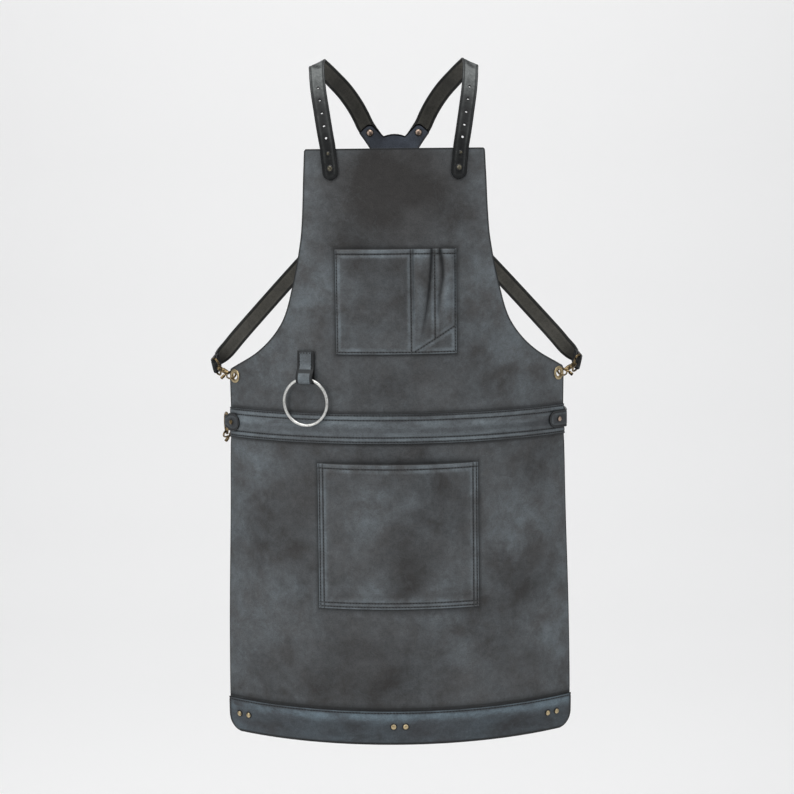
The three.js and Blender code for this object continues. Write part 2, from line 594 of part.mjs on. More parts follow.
// Eyelets, studs and rivets.
const grommetProfile = [
  [GROMMET.hole, 1], [8, 1.5], [GROMMET.flange, 0.5], [GROMMET.sleeve, 0.5], [GROMMET.sleeve, -2.5],
  [GROMMET.flange, -2.5], [10, -3.1], [GROMMET.hole, -3.1], [GROMMET.hole, 1],
];
SIDES.forEach(({ name, k }) => {
  add(`grommet_${name}`, put(lathe(grommetProfile, 14), seat(k * GROMMET.s, GROMMET.z, -0.38)), 'brass');
  STUDS.forEach((p, i) => add(`strap_${i ? 'eyelet' : 'stud'}_${name}`, rivet(
    seat(k * p.s, p.z, 2 * GAP + STRAP_T), p.head, STRAP_T + 2 * GAP + PANEL_T,
  ), 'brass'));
});
HEM_RIVETS.forEach((s, i) => add(`hem_rivet_${i + 1}`, rivet(
  seat(s, HEM_RIVET_Z, GAP + BAND_T), 4.5, BAND_T + GAP + PANEL_T,
), 'brass'));

export default group;
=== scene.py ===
# %% [markdown]
# # A leather work apron
# The solids of the apron come in first, as a fixed frame in metres: +Z up, the front facing -Y.
# Everything made below is laid on them.

# %% Load the frame
import json
import math

import bmesh
import bpy
from mathutils import Matrix, Vector

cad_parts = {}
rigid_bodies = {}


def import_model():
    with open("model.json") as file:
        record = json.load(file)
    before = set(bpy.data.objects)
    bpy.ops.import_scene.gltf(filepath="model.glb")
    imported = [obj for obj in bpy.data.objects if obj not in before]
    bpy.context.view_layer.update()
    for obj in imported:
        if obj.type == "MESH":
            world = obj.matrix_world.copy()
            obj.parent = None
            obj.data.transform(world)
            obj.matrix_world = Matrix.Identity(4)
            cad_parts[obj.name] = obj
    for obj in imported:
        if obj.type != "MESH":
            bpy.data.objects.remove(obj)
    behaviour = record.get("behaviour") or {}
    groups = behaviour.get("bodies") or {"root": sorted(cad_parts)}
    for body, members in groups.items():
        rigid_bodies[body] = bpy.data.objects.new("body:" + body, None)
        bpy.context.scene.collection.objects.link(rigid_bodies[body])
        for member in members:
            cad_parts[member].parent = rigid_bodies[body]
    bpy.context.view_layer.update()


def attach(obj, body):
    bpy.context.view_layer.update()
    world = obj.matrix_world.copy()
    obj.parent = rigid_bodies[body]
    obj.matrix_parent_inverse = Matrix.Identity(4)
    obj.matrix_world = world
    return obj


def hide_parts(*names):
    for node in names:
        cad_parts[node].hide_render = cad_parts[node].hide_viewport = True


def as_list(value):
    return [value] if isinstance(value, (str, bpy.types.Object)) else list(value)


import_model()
MM = 0.001

# %% [markdown]
# ## Small tools
# Four short functions put an object in the scene, turn a worked shape into a smooth mesh, start a
# finish and place a shape, so that the steps below say only what they make.

# %% Small tools
def put(name, data):
    thing = bpy.data.objects.new(name, data)
    bpy.context.collection.objects.link(thing)
    return thing


def mesh_of(name, bm, paints=(), smooth=True):
    mesh = bpy.data.meshes.new(name)
    bm.to_mesh(mesh)
    bm.free()
    for paint in paints:
        mesh.materials.append(paint)
    for face in mesh.polygons:
        face.use_smooth = smooth
    return mesh


def new_finish(name):
    """A finish, its node tree and its shader."""
    paint = bpy.data.materials.new(name)
    paint.use_nodes = True
    return paint, paint.node_tree, paint.node_tree.nodes["Principled BSDF"]


def frame_at(place, x, y, z):
    """Place a shape with its own X, Y and Z along three directions."""
    return Matrix.Translation(place) @ Matrix((x, y, z)).transposed().to_4x4()


UP = Vector((0, 0, 1))
print("small tools ready")

# %% [markdown]
# ## Camera
# The picture was taken with a long lens from about chest height, looking slightly down, and the
# apron hangs a touch anticlockwise in it. A long lens nearly three metres away gives the same
# gentle bow to the waistband and the hem.

# %% Camera
EYE = Vector((0, -2.85, -0.159))
LOOK_DOWN, ROLL = math.radians(6.9), math.radians(0.6)
SENSOR, FOCAL = 36, 84.83123
lens = bpy.data.cameras.new("camera")
lens.sensor_width = SENSOR
lens.lens = FOCAL
camera = put("camera", lens)
camera.matrix_world = (Matrix.Translation(EYE)
                       @ Matrix.Rotation(math.pi / 2 - LOOK_DOWN, 4, "X")
                       @ Matrix.Rotation(-ROLL, 4, "Z"))
bpy.context.scene.camera = camera
print("lens", round(lens.lens, 1), "mm")

# %% [markdown]
# ## Studio
# A pale floor runs back and turns up into a wall, so that no edge shows behind the apron. Large
# soft lights stand to both sides and above, and an even pale sky fills the shadows.

# %% Studio
SWEEP = {"half": 7, "run": 11, "front": -4, "flat": 6, "bend": 2.4, "round": 1.53, "floor": -1.5}


def stage_sweep():
    bm = bmesh.new()
    bmesh.ops.create_grid(bm, x_segments=1, y_segments=24, size=1)
    for v in bm.verts:
        run = (v.co.y + 1) / 2 * SWEEP["run"]
        turn = min(max((run - SWEEP["flat"]) / SWEEP["bend"], 0), 1) * math.pi / 2
        back = SWEEP["front"] + min(run, SWEEP["flat"]) + SWEEP["round"] * math.sin(turn)
        wall = max(run - SWEEP["flat"] - SWEEP["bend"], 0)
        rise = SWEEP["round"] * (1 - math.cos(turn)) + wall
        v.co = Vector((v.co.x * SWEEP["half"], back, SWEEP["floor"] + rise))
    paper, _, shader = new_finish("pale_paper")
    shader.inputs["Base Color"].default_value = (0.93, 0.925, 0.92, 1)
    shader.inputs["Roughness"].default_value = 0.9
    shader.inputs["Specular IOR Level"].default_value = 0
    sweep = put("floor", mesh_of("floor", bm, (paper,)))


def soft_light(name, place, aim, size, power):
    data = bpy.data.lights.new(name, "AREA")
    data.shape = "RECTANGLE"
    data.size, data.size_y = size
    data.energy = power
    lamp = put(name, data)
    way = Vector(aim) - Vector(place)
    lamp.matrix_world = Matrix.Translation(place) @ way.to_track_quat("-Z", "Y").to_matrix().to_4x4()


stage_sweep()
soft_light("left_bank", (-2.4, -2.0, 0.6), (0, 0, -0.5), (1.4, 2.4), 24)
soft_light("right_bank", (2.4, -2.0, 0.6), (0, 0, -0.5), (1.4, 2.4), 16)
soft_light("top_bank", (-0.3, -1.0, 2.0), (0, 0, -0.4), (2.2, 1.4), 40)
soft_light("wall_wash", (0, 0.6, 2.6), (0, 3.4, -0.3), (4, 0.8), 52)
sky = bpy.data.worlds.new("studio_sky")
bpy.context.scene.world = sky
sky.use_nodes = True
backdrop = sky.node_tree.nodes["Background"].inputs
backdrop["Color"].default_value = (0.9, 0.92, 0.95, 1)
backdrop["Strength"].default_value = 0.42
bpy.context.scene.view_settings.view_transform = "Standard"

# %% [markdown]
# ## The shape the leather takes
# Worn, the leather wraps round a body: tight at the waist, flatter over the chest and fuller at the
# hem. Every flat piece of hide is cut as a pattern, with `s` across from the middle and `z` as the
# height, and then laid on that wrapped form. `h` is how far a layer stands off the grain face.

# %% The body form and the cut of the panels
WRAP = [(-1003, 421), (-572, 360), (-432, 360), (-125, 588)]
CENTRE = [(-1003, -122), (-542, -118), (-292, -116), (-125, -98)]
OUTLINE = [(-1015, 261), (-1013, 268), (-1008, 275.5), (-1000, 281.5), (-990, 283.8), (-900, 285),
           (-760, 286), (-620, 286), (-575, 285), (-548, 282.6), (-517, 282), (-466, 282.8),
           (-457, 281), (-451, 270), (-442, 250.6), (-432, 231), (-421, 214.5), (-409, 200),
           (-394, 186), (-378, 174.8), (-359, 166.3), (-330, 157.5), (-305, 150.9), (-278, 145),
           (-245, 139.9), (-200, 137.1), (-172, 136.1), (-150, 135), (-129.5, 133.9), (-126.5, 131.5)]


def ease(t):
    t = min(max(t, 0), 1)
    return t * t * (3 - 2 * t)


def along(rows, z):
    """Value of a table of (height, value) rows at a height, eased between the rows."""
    z = min(max(z, rows[0][0]), rows[-1][0])
    for (z0, v0), (z1, v1) in zip(rows, rows[1:]):
        if z <= z1:
            return v0 + (v1 - v0) * ease((z - z0) / (z1 - z0))


def half_width(z):
    """Half the width of the cut at a height, as one smooth curve through the outline's rows."""
    z = min(max(z, OUTLINE[0][0]), OUTLINE[-1][0])
    i = next(k for k in range(1, len(OUTLINE)) if z <= OUTLINE[k][0])
    (z0, v0), (z1, v1) = OUTLINE[i - 1], OUTLINE[i]
    rises = [(b[1] - a[1]) / (b[0] - a[0]) for a, b in zip(OUTLINE, OUTLINE[1:])]
    step, here = z1 - z0, rises[i - 1]
    before, after = rises[max(i - 2, 0)], rises[min(i, len(rises) - 1)]
    m0 = 2 * before * here / (before + here) if before * here > 0 else 0
    m1 = 2 * here * after / (here + after) if here * after > 0 else 0
    t = (z - z0) / step
    return (v0 * (1 + 2 * t) * (1 - t) ** 2 + v1 * t * t * (3 - 2 * t)
            + step * (m0 * t * (1 - t) ** 2 - m1 * t * t * (1 - t)))


def skin(s, z, h):
    r = along(WRAP, z)
    a = s / r
    return Vector((math.sin(a) * (r + h), along(CENTRE, z) + r - math.cos(a) * (r + h), z)) * MM


print("waist wrap radius", along(WRAP, -500), "mm, hem half width", half_width(-990), "mm")

# %% [markdown]
# ## Leather
# The hide is oil-tanned and dyed charcoal. Its wax blooms to a cool grey where it is rubbed, the pores
# show as fine specks, and cut edges and stitch channels stay nearly black. The look is made from the cut
# pattern (the UV map, in metres) and from two marks stored on each piece: one for cut edges, channels and
# painted shadow beside raised layers, and one for places that are handled and for painted highlights on
# ridges and crests. Where the second mark is low the base is darker, which is painted shade at the top of
# the bib.

# %% Leather finishes
def feed(tree, value, socket):
    """Link another node's output to a socket, or set a plain value there."""
    if hasattr(value, "node"):
        tree.links.new(value, socket)
    else:
        socket.default_value = value


def node(tree, kind, **values):
    made = tree.nodes.new(kind)
    for key, value in values.items():
        if key in made.inputs:
            feed(tree, value, made.inputs[key])
        else:
            setattr(made, key, value)
    return made


def srgb(r, g, b):
    part = [c / 255 for c in (r, g, b)]
    return tuple(c / 12.92 if c <= 0.04045 else ((c + 0.055) / 1.055) ** 2.4 for c in part) + (1,)


def mixed(tree, kind, factor, a, b):
    mix = node(tree, "ShaderNodeMix", data_type="RGBA", blend_type=kind)
    for place, value in ((0, factor), (6, a), (7, b)):
        feed(tree, value, mix.inputs[place])
    return mix.outputs[2]


def reckon(tree, kind, *values):
    made = node(tree, "ShaderNodeMath", operation=kind)
    for socket, value in zip(made.inputs, values):
        feed(tree, value, socket)
    return made.outputs[0]


def ramp(tree, source, stops):
    """Grey values at places from 0 to 1 of the source."""
    made = node(tree, "ShaderNodeValToRGB")
    band = made.color_ramp
    while len(band.elements) < len(stops):
        band.elements.new(0.5)
    for element, (place, value) in zip(band.elements, stops):
        element.position = place
        element.color = (value, value, value, 1)
    feed(tree, source, made.inputs[0])
    return made.outputs[0]


def noise(tree, where, scale, detail, rough, warp=0):
    made = node(tree, "ShaderNodeTexNoise", Vector=where, Scale=scale, Detail=detail, Roughness=rough,
                Distortion=warp)
    return made.outputs["Fac"]


EDGE_AND_SHADOW = srgb(18, 20, 21)


def leather(name, dark, mid, bloom, rough=0.55, streak=(1, 1), grain=0.25, shine=0.42):
    paint, tree, shader = new_finish(name)
    cut = node(tree, "ShaderNodeUVMap", uv_map="cut").outputs[0]
    drawn = node(tree, "ShaderNodeVectorMath", operation="MULTIPLY")
    feed(tree, cut, drawn.inputs[0])
    feed(tree, (*streak, 1), drawn.inputs[1])
    clouds = noise(tree, drawn.outputs[0], 8, 4, 0.55, 0.2)
    mottle = noise(tree, drawn.outputs[0], 21, 7, 0.66, 0.25)
    hairlines = noise(tree, cut, 26, 3, 0.5, 0.5)
    scuffs = noise(tree, cut, 70, 5, 0.72, 0.6)
    pores = noise(tree, cut, 520, 2, 0.6)
    creases = noise(tree, cut, 150, 3, 0.7, 0.8)
    seam_and_painted_shadow, wear_and_painted_light = (node(tree, "ShaderNodeAttribute", attribute_name=mark).outputs["Fac"]
                 for mark in ("seam_and_painted_shadow", "wear_and_painted_light"))
    # Low values of the pale mark darken the base; near the top of the bib this is painted shade.
    shade = reckon(tree, "MULTIPLY_ADD", wear_and_painted_light, 0.3, clouds)
    colour = mixed(tree, "MIX", ramp(tree, shade, [(0.42, 0.0), (0.78, 1.0)]), srgb(*dark), srgb(*mid))
    # The cool bloom is wax bloom where the hide is worn and painted highlight on ridges and crests.
    waxy = reckon(tree, "MULTIPLY_ADD", ramp(tree, mottle, [(0.36, 0.0), (0.7, 1.0)]), wear_and_painted_light,
                  ramp(tree, hairlines, [(0.488, 0.0), (0.5, 0.07), (0.512, 0.0)]))
    colour = mixed(tree, "MIX", waxy, colour, srgb(*bloom))
    for much, marks, stops in ((0.8, scuffs, [(0.3, 0.78), (0.7, 1.2)]),
                               (0.4, pores, [(0.34, 0.45), (0.52, 1.0)]),
                               (0.35, creases, [(0.35, 0.6), (0.6, 1.1)])):
        colour = mixed(tree, "MULTIPLY", much, colour, ramp(tree, marks, stops))
    # Cut edges, stitch channels and painted shadow take the near-black edge colour.
    feed(tree, mixed(tree, "MIX", seam_and_painted_shadow, colour, EDGE_AND_SHADOW), shader.inputs["Base Color"])
    feed(tree, ramp(tree, mottle, [(0.3, rough - 0.08), (0.7, rough + 0.1)]), shader.inputs["Roughness"])
    relief = node(tree, "ShaderNodeBump", Strength=grain, Distance=0.0006,
                  Height=reckon(tree, "ADD", pores, creases))
    feed(tree, relief.outputs[0], shader.inputs["Normal"])
    shader.inputs["Specular IOR Level"].default_value = shine
    return paint


panel_grain = leather("panel_leather", (43, 41, 40), (77, 78, 79), (106, 114, 119))
band_grain = leather("band_leather", (44, 46, 49), (76, 79, 82), (112, 121, 126), streak=(0.5, 1.5))
hem_grain = leather("hem_leather", (35, 37, 40), (61, 64, 68), (101, 116, 125), streak=(0.6, 1.2))
strap_grain = leather("strap_leather", (13, 14, 15), (27, 28, 29), (108, 111, 110), rough=0.68,
                      shine=0.22)
yoke_grain = leather("yoke_leather", (31, 34, 40), (54, 59, 69), (88, 97, 109))
flesh = leather("flesh_side", (56, 55, 51), (78, 76, 70), (96, 94, 87), rough=0.85, grain=0.6)
cut_edge_and_shadow = leather("cut_edge_and_shadow", (20, 22, 23), (28, 30, 31), (52, 56, 58), rough=0.4)
panel_skins, band_skins, strap_skins = ((grain, flesh, cut_edge_and_shadow)
                                        for grain in (panel_grain, band_grain, strap_grain))
leathers = (panel_grain, band_grain, hem_grain, strap_grain, yoke_grain, flesh, cut_edge_and_shadow)
print("leathers:", [paint.name for paint in leathers])

# %% [markdown]
# ## Cutting and laying a sheet
# A piece of hide starts as a flat grid with one column and one row per station of its pattern.
# Stations crowd together along edges and stitch lines, so that a dark edge or a pressed channel
# has points to sit on. The grid is laid on the body form and thickened towards the flesh side.

# %% Sheet tools
CLOSE = (-2.6, -1.6, -1.0, -0.5, 0, 0.5, 1.0, 1.6, 2.6)
EDGE_STEPS = (0, 0.7, 1.4, 2.3, 3.6, 6, 10, 15)
SIDE_COLUMNS = 16
ROUND_EDGE = 0.4


def stations(low, high, step, lines=()):
    """Even steps from low to high, with close ones round each line."""
    count = max(1, round((high - low) / step))
    even = [low + (high - low) * i / count for i in range(count + 1)]
    close = [line + d for line in lines for d in CLOSE]
    places = [low]
    for place in sorted(even + close):
        if low + 0.3 < place < high - 0.3 and place - places[-1] > 0.3:
            places.append(place)
    return places + [high]


def columns(half, keep, lines=()):
    """Stations across a panel: fixed in the middle, stretched beside it and close at the edges."""
    inner = half - EDGE_STEPS[-1]
    side = [keep + (inner - keep) * i / SIDE_COLUMNS for i in range(1, SIDE_COLUMNS + 1)]
    side += [half - d for d in EDGE_STEPS[-2::-1]]
    return [-s for s in side[::-1]] + stations(-keep, keep, 9, lines) + side


def near(distance, width):
    return math.exp(-(distance / width) ** 2)


def finish_piece(name, bm, skins, body, thick=0):
    piece = put(name, mesh_of(name, bm, skins))
    if thick:
        shell = piece.modifiers.new("thickness", "SOLIDIFY")
        shell.thickness, shell.offset = thick * MM, -1
        shell.material_offset, shell.material_offset_rim = 1, 2
        soft = piece.modifiers.new("edge", "BEVEL")
        soft.width, soft.segments, soft.limit_method = ROUND_EDGE * MM, 2, "ANGLE"
        soft.angle_limit = math.radians(50)
    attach(piece, body)
    return piece


def keep_flat(bm, place):
    """Store where each corner lies on the flat cut, in metres."""
    cut = bm.loops.layers.uv.new("cut")
    for face in bm.faces:
        for corner in face.loops:
            corner[cut].uv = place(corner.vert)


def laid_grid(across, down, lay):
    """lay(i, j) gives a point's place, its place on the flat cut and its two marks."""
    bm = bmesh.new()
    bmesh.ops.create_grid(bm, x_segments=across - 1, y_segments=down - 1, size=1)
    seam_and_painted_shadow, wear_and_painted_light = bm.verts.layers.float.new("seam_and_painted_shadow"), bm.verts.layers.float.new("wear_and_painted_light")
    flat = {}
    for v in bm.verts:
        i, j = round((v.co.x + 1) / 2 * (across - 1)), round((v.co.y + 1) / 2 * (down - 1))
        v.co, flat[v], (v[seam_and_painted_shadow], v[wear_and_painted_light]) = lay(i, j)
    keep_flat(bm, flat.get)
    return bm


def sheet(name, across, down, lay, mark, thick, skins):
    """across(z) lists the columns at a height, and lay(s, z) gives the place on the body."""
    def point(i, j):
        z = down[j]
        s = across(z)[i]
        return lay(s, z), (s * MM, z * MM), mark(s, z)

    bm = laid_grid(len(across(down[0])), len(down), point)
    return finish_piece(name, bm, skins, "apron", thick)


print("stations on 100 mm with one line:", len(stations(0, 100, 10, [50])))

# %% [markdown]
# ## Bib and skirt
# Two panels make the body of the apron. The bib is cut away in a smooth curve for each arm, and the skirt
# hangs straight below the waist. Hands rub the wax pale along the edges and at the thighs, so each panel
# gets a few soft worn places. The pale rise towards the edges is partly painted highlight, the darker
# places near the top of the bib are painted shade, and painted shadow lies round the pockets and along
# the bands.

# %% Panels
PANEL = 2.0
BIB_TOP, BIB_BOTTOM, SKIRT_TOP, SKIRT_BOTTOM, SKIRT_INSET = -126.5, -531, -544, -1001, 0.5
ARM_CORNER, POCKET_ROOM = (-449, -457, -461, -466), 6
BAND_TOP, BAND_BOTTOM, HEM_TOP, HEM_BOTTOM = -514.5, -560.5, -963, -1015
CHEST = {"half": 90, "top": -272, "bottom": -427.5}
SKIRT_POCKET = {"half": 122, "top": -589, "bottom": -809}
# (s, z, size, amount) of soft worn places; negative amounts darken, and the two nearest the bib top are
# painted shade.
WEAR_AND_SHADE = [(-112, -340, 48, 0.55), (116, -345, 45, 0.5), (-190, -455, 45, 0.35), (188, -445, 50, 0.5),
        (0, -205, 95, -0.35), (0, -120, 90, -0.6), (0, -465, 70, -0.1), (-235, -600, 40, 0.6),
        (-195, -820, 60, 0.45), (185, -690, 50, 0.75), (240, -850, 45, 0.6), (205, -790, 30, -0.35),
        (-150, -650, 45, -0.35), (-60, -890, 80, -0.3), (85, -850, 45, 0.3), (205, -885, 30, -0.35),
        (-45, -660, 35, 0.5), (-40, -782, 30, 0.4), (65, -785, 30, 0.35), (5, -740, 45, -0.35)]


def past(shape, s, z):
    """How far a place lies outside a patch."""
    return max(abs(s) - shape["half"], z - shape["top"], shape["bottom"] - z)


def wear_and_shade(s, z):
    return sum(much * near(math.hypot(s - x, z - y), size) for x, y, size, much in WEAR_AND_SHADE)


def panel_mark(s, z):
    slope = (half_width(z + 1) - half_width(z - 1)) / 2
    rim = min((half_width(z) - abs(s)) / math.hypot(1, slope), BIB_TOP - z)
    # Painted shadow on the panel round the pockets, just outside both edges of the waistband and above
    # the hem band.
    under = max(0.5 * near(past(patch, s, z) - 1, 2.4) for patch in (CHEST, SKIRT_POCKET))
    under = max(under, 0.55 * near(z - BAND_TOP - 2, 2.6), 0.5 * near(BAND_BOTTOM - 1 - z, 2.4),
                0.85 * near(z - HEM_TOP - 2.5, 3))
    # The pale mark rises towards the edges, partly wear and partly painted highlight.
    return max(ease((3.6 - rim) / 2.8), under), 0.42 + wear_and_shade(s, z) + 0.4 * math.exp(-max(rim, 0) / 28)


def panel(name, low, high, step, inset, pocket, lines):
    half = pocket["half"]
    return sheet(name, lambda z: columns(half_width(z) - inset, half + POCKET_ROOM, (-half, half)),
                 stations(low, high, step, [pocket["top"], pocket["bottom"], *lines]),
                 lambda s, z: skin(s, z, 0), panel_mark, PANEL, panel_skins)


bib = panel("bib", BIB_BOTTOM, BIB_TOP, 5, 0, CHEST, (BIB_TOP, BIB_TOP - 2, *ARM_CORNER, BAND_TOP + 2))
skirt = panel("skirt", SKIRT_BOTTOM, SKIRT_TOP, 7, SKIRT_INSET, SKIRT_POCKET,
              (BAND_BOTTOM - 1, HEM_TOP + 2.5))
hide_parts("bib_panel")
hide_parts("skirt_panel")
print("panels:", [(p.name, len(p.data.polygons)) for p in (bib, skirt)])

# %% [markdown]
# ## Waistband and hem band
# A doubled strip covers the seam between bib and skirt, and a second one binds the hem and rounds its
# corners. Both are a bluer hide, rubbed into long pale streaks that are partly painted highlight along
# the raised strips beside the rows of stitches. A pressed channel runs along each row of stitches.

# %% Bands
BAND, LAYER = 2.0, 0.4
WAIST_ROWS = (BAND_TOP - 2.8, BAND_TOP - 10, BAND_BOTTOM + 10.3, BAND_BOTTOM + 3.7)
HEM_ROWS = (HEM_TOP - 3.6,)


def channel(distance):
    """How far a stitch channel presses into the leather."""
    return -0.55 * near(distance, 1)


def band_sheet(name, low, high, rows, lines, painted_light, grain, rim):
    def edge(s, z):
        return min(half_width(z) - abs(s), high - z, z - low)

    def lay(s, z):
        dips = sum(channel(z - row) for row in rows)
        roll = 0.5 * ease(1 - edge(s, z) / 3)
        return skin(s, z, LAYER + BAND + dips - roll)

    def mark(s, z):
        side = min(half_width(z) - abs(s), z - low)
        dark = [ease((1.6 - (high - z)) / 1.2), ease((rim - side) / 2.8)]
        dark += [0.7 * near(z - row, 1.2) for row in rows]
        # Each (height, width, amount) row raises the pale mark as painted highlight on a raised strip; a
        # negative amount darkens.
        return max(dark), 0.5 + sum(much * near(z - at, wide) for at, wide, much in painted_light)

    return sheet(name, lambda z: columns(half_width(z), 120),
                 stations(low, high, 4, list(rows) + [low, high] + lines),
                 lay, mark, BAND - 0.5, (grain, flesh, cut_edge_and_shadow))


waistband = band_sheet("waist_band", BAND_BOTTOM, BAND_TOP, WAIST_ROWS, [],
                       [(-521, 2.3, 1.2), (-530, 5, 1.3), (-546, 3.5, 0.5), (-553.5, 2, 1.2),
                        (-558.6, 1, 0.9)], band_grain, 3.4)
hem = band_sheet("hem_strip", HEM_BOTTOM, HEM_TOP, HEM_ROWS, [-1011, -1006, -1001, -995],
                 [(-972.5, 5.5, 1.5), (-964.5, 1, 0.6), (-992, 14, -0.1)], hem_grain, 5)
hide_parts("waistband")
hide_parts("hem_band")
print("bands:", [(p.name, len(p.data.polygons)) for p in (waistband, hem)])

# %% [markdown]
# ## Pockets
# Both pockets are patches sewn on three sides and left standing open a little at the top. The top
# edge is folded over once. The chest pocket is eased into one wide bay and two narrow pen bays, and
# a slanting seam closes the pen bays so that short pens do not drop out of reach.

# %% Pockets
POCKET = 1.6
FOLD = 7.6


def belly(x, low, high):
    """Rounded swell between two sewn lines, from 0 at each to 1 in the middle."""
    k = min(max((x - low) / (high - low), 0), 1)
    return math.sin(math.pi * k) ** 0.7


def fold_over(drop):
    """Extra stand-off of the folded top edge, by the distance below the top."""
    return 0.9 * max(0, 1 - abs(drop / (FOLD / 2) - 1) ** 5) if drop < FOLD else 0


SKIRT_SIDES = (118.7, 113.1)
SKIRT_FLOORS = (-805, -799.2)


def skirt_lift(s, z):
    """The skirt pocket stands open by 8 mm at its mouth."""
    return 8 * belly(s, -112, 112) * ease((z + 798) / 150)


CHEST_SIDE, CHEST_WALL, PEN_SEAM, CHEST_FLOOR = 87.2, 22, 57, -424
CHEST_SEAMS = (-CHEST_SIDE, CHEST_WALL, PEN_SEAM, CHEST_SIDE)


def slant(s):
    """Height of the slanting stitch line under the pen bays."""
    return CHEST_FLOOR + (s - 25.8) * 0.62


def chest_drop(z):
    """Share of the way down the chest pocket."""
    return min(max((CHEST["top"] - z) / 155, 0), 1)


def bays(z):
    """(left, right, lift, reach) of the wide bay and the two pen bays at a height."""
    t = chest_drop(z)
    pinch = 4.5 * math.sin(math.pi * min(t / 0.45, 1)) - 9 * max(t - 0.4, 0)
    return [(-84, 21.5, 7.5, 120), (25.2, 52.8 - 3.3 * t - 19 * t * t, 7.2, 70),
            (63.5 + pinch, 86.2, 9.0, 60)]


def chest_lift(s, z):
    for low, high, lift, reach in bays(z):
        if low <= s <= high:
            floor = -421.5 if low < 0 else slant(s)
            return lift * belly(s, low, high) ** (1 if low < 0 else 0.7) * ease((z - floor) / reach)
    return 0


def pleat_shade(s, z):
    """Painted shade where the walls of the pen bays drop to the fold between them."""
    if s < CHEST_WALL:
        return 0
    _, inner, outer = bays(z)
    drop = chest_drop(z)
    first = 0.95 * (1 - drop) ** 0.6 * near(s - inner[1], 3.4 - 1.4 * drop)
    second = 0.95 * max(1 - 1.5 * drop, 0) ** 0.5 * near(s - outer[0], 3.2 - 1.5 * drop)
    beside = 0.6 * (1 - drop) * near(s - 24.8, 1.6)
    return max(first, second, beside) * ease((z - slant(s)) / 25)


def patch(name, shape, lift, ups, floors, lines, step, extra, shade, painted_light):
    """ups are stitch lines that run up the patch, floors run across it."""
    def seams(s, z):
        near_up = min(abs(s - up) for up in ups)
        near_floor = min(abs(z - floor) for floor in floors)
        return min(near_up, near_floor, extra(s, z), abs(shape["top"] - z - FOLD))

    def edge(s, z):
        return min(shape["half"] - abs(s), shape["top"] - z, z - shape["bottom"])

    def lay(s, z):
        stand = lift(s, z) + fold_over(shape["top"] - z) + channel(seams(s, z))
        return skin(s, z, LAYER + POCKET + stand - 0.5 * ease(1 - edge(s, z) / 2.5))

    def mark(s, z):
        # Darkness joins the dark edges, the stitch channels and painted shade; the ridge term and the
        # last argument add painted highlight beside the stitch lines, inside the edges and on the bays.
        dark = max(ease((1.5 - edge(s, z)) / 1.1), 0.55 * near(seams(s, z), 1.1), shade(s, z))
        ridge_highlight = 1.1 * near(seams(s, z) - 3.2, 2.2) + 0.7 * near(edge(s, z) - 1.6, 1.2)
        return dark, 0.45 + wear_and_shade(s, z) + ridge_highlight + painted_light(s, z)

    return sheet(name, lambda z: lines,
                 stations(shape["bottom"], shape["top"], step,
                          list(floors) + [shape["bottom"], shape["top"], shape["top"] - FOLD]),
                 lay, mark, POCKET - 0.3, panel_skins)


skirt_ups = [k * s for k in (-1, 1) for s in SKIRT_SIDES]
half = SKIRT_POCKET["half"]
skirt_pocket = patch("skirt_patch", SKIRT_POCKET, skirt_lift, skirt_ups, SKIRT_FLOORS,
                     stations(-half, half, 5, [-half, *skirt_ups, half]), 5,
                     lambda s, z: 99, lambda s, z: 0, lambda s, z: 0)
half = CHEST["half"]
# On the chest pocket the dark pleat walls are painted shade, and the pale streaks down the pen bays are
# painted highlight.
chest_pocket = patch("chest_patch", CHEST, chest_lift, (-CHEST_SIDE, CHEST_WALL, CHEST_SIDE),
                     (CHEST_FLOOR,), stations(-half, half, 1.5, (-half, *CHEST_SEAMS, half)), 2.2,
                     lambda s, z: min(abs(z - slant(s)) * 0.85 if s > 25 else 99,
                                      abs(s - PEN_SEAM) if z > slant(PEN_SEAM) else 99), pleat_shade,
                     lambda s, z: 1.1 * near(s - 74, 6) * ease((z + 400) / 40) + 0.4 * near(s - 34, 6))
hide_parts("skirt_pocket")
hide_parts("chest_pocket")
print("pockets:", [(p.name, len(p.data.polygons)) for p in (skirt_pocket, chest_pocket)])

# %% [markdown]
# ## Straps
# Straps are cut along the hide and follow a line through the air, turning on the way. Each row of
# the strip knows its place, the direction of its width and how far along it is. A crease is pressed
# just inside both edges, and the flesh side stays rough, brown and matt.

# %% Strap tools
STRAP = 2.4
HALF_TURN = [math.pi * i / 6 for i in range(7)]


def through(points, t):
    """Point at t from 0 to 1 on a smooth line through the points."""
    place = t * (len(points) - 1)
    i = min(int(place), len(points) - 2)
    w, p1, p2 = place - i, points[i], points[i + 1]
    p0 = points[i - 1] if i else p1 * 2 - p2
    p3 = points[i + 2] if i + 2 < len(points) else p2 * 2 - p1
    gaps = [(b - a).length ** 0.5 for a, b in ((p0, p1), (p1, p2), (p2, p3))]
    d1 = gaps[1] if gaps[1] > 1e-4 else 1
    d0, d2 = (g if g > 1e-4 else d1 for g in (gaps[0], gaps[2]))
    m1 = ((p1 - p0) / d0 - (p2 - p0) / (d0 + d1) + (p2 - p1) / d1) * d1
    m2 = ((p2 - p1) / d1 - (p3 - p1) / (d1 + d2) + (p3 - p2) / d2) * d1
    return (p1 + m1 * w + (p2 * 3 - p1 * 3 - m1 * 2 - m2) * w ** 2
            + (p1 * 2 - p2 * 2 + m1 + m2) * w ** 3)


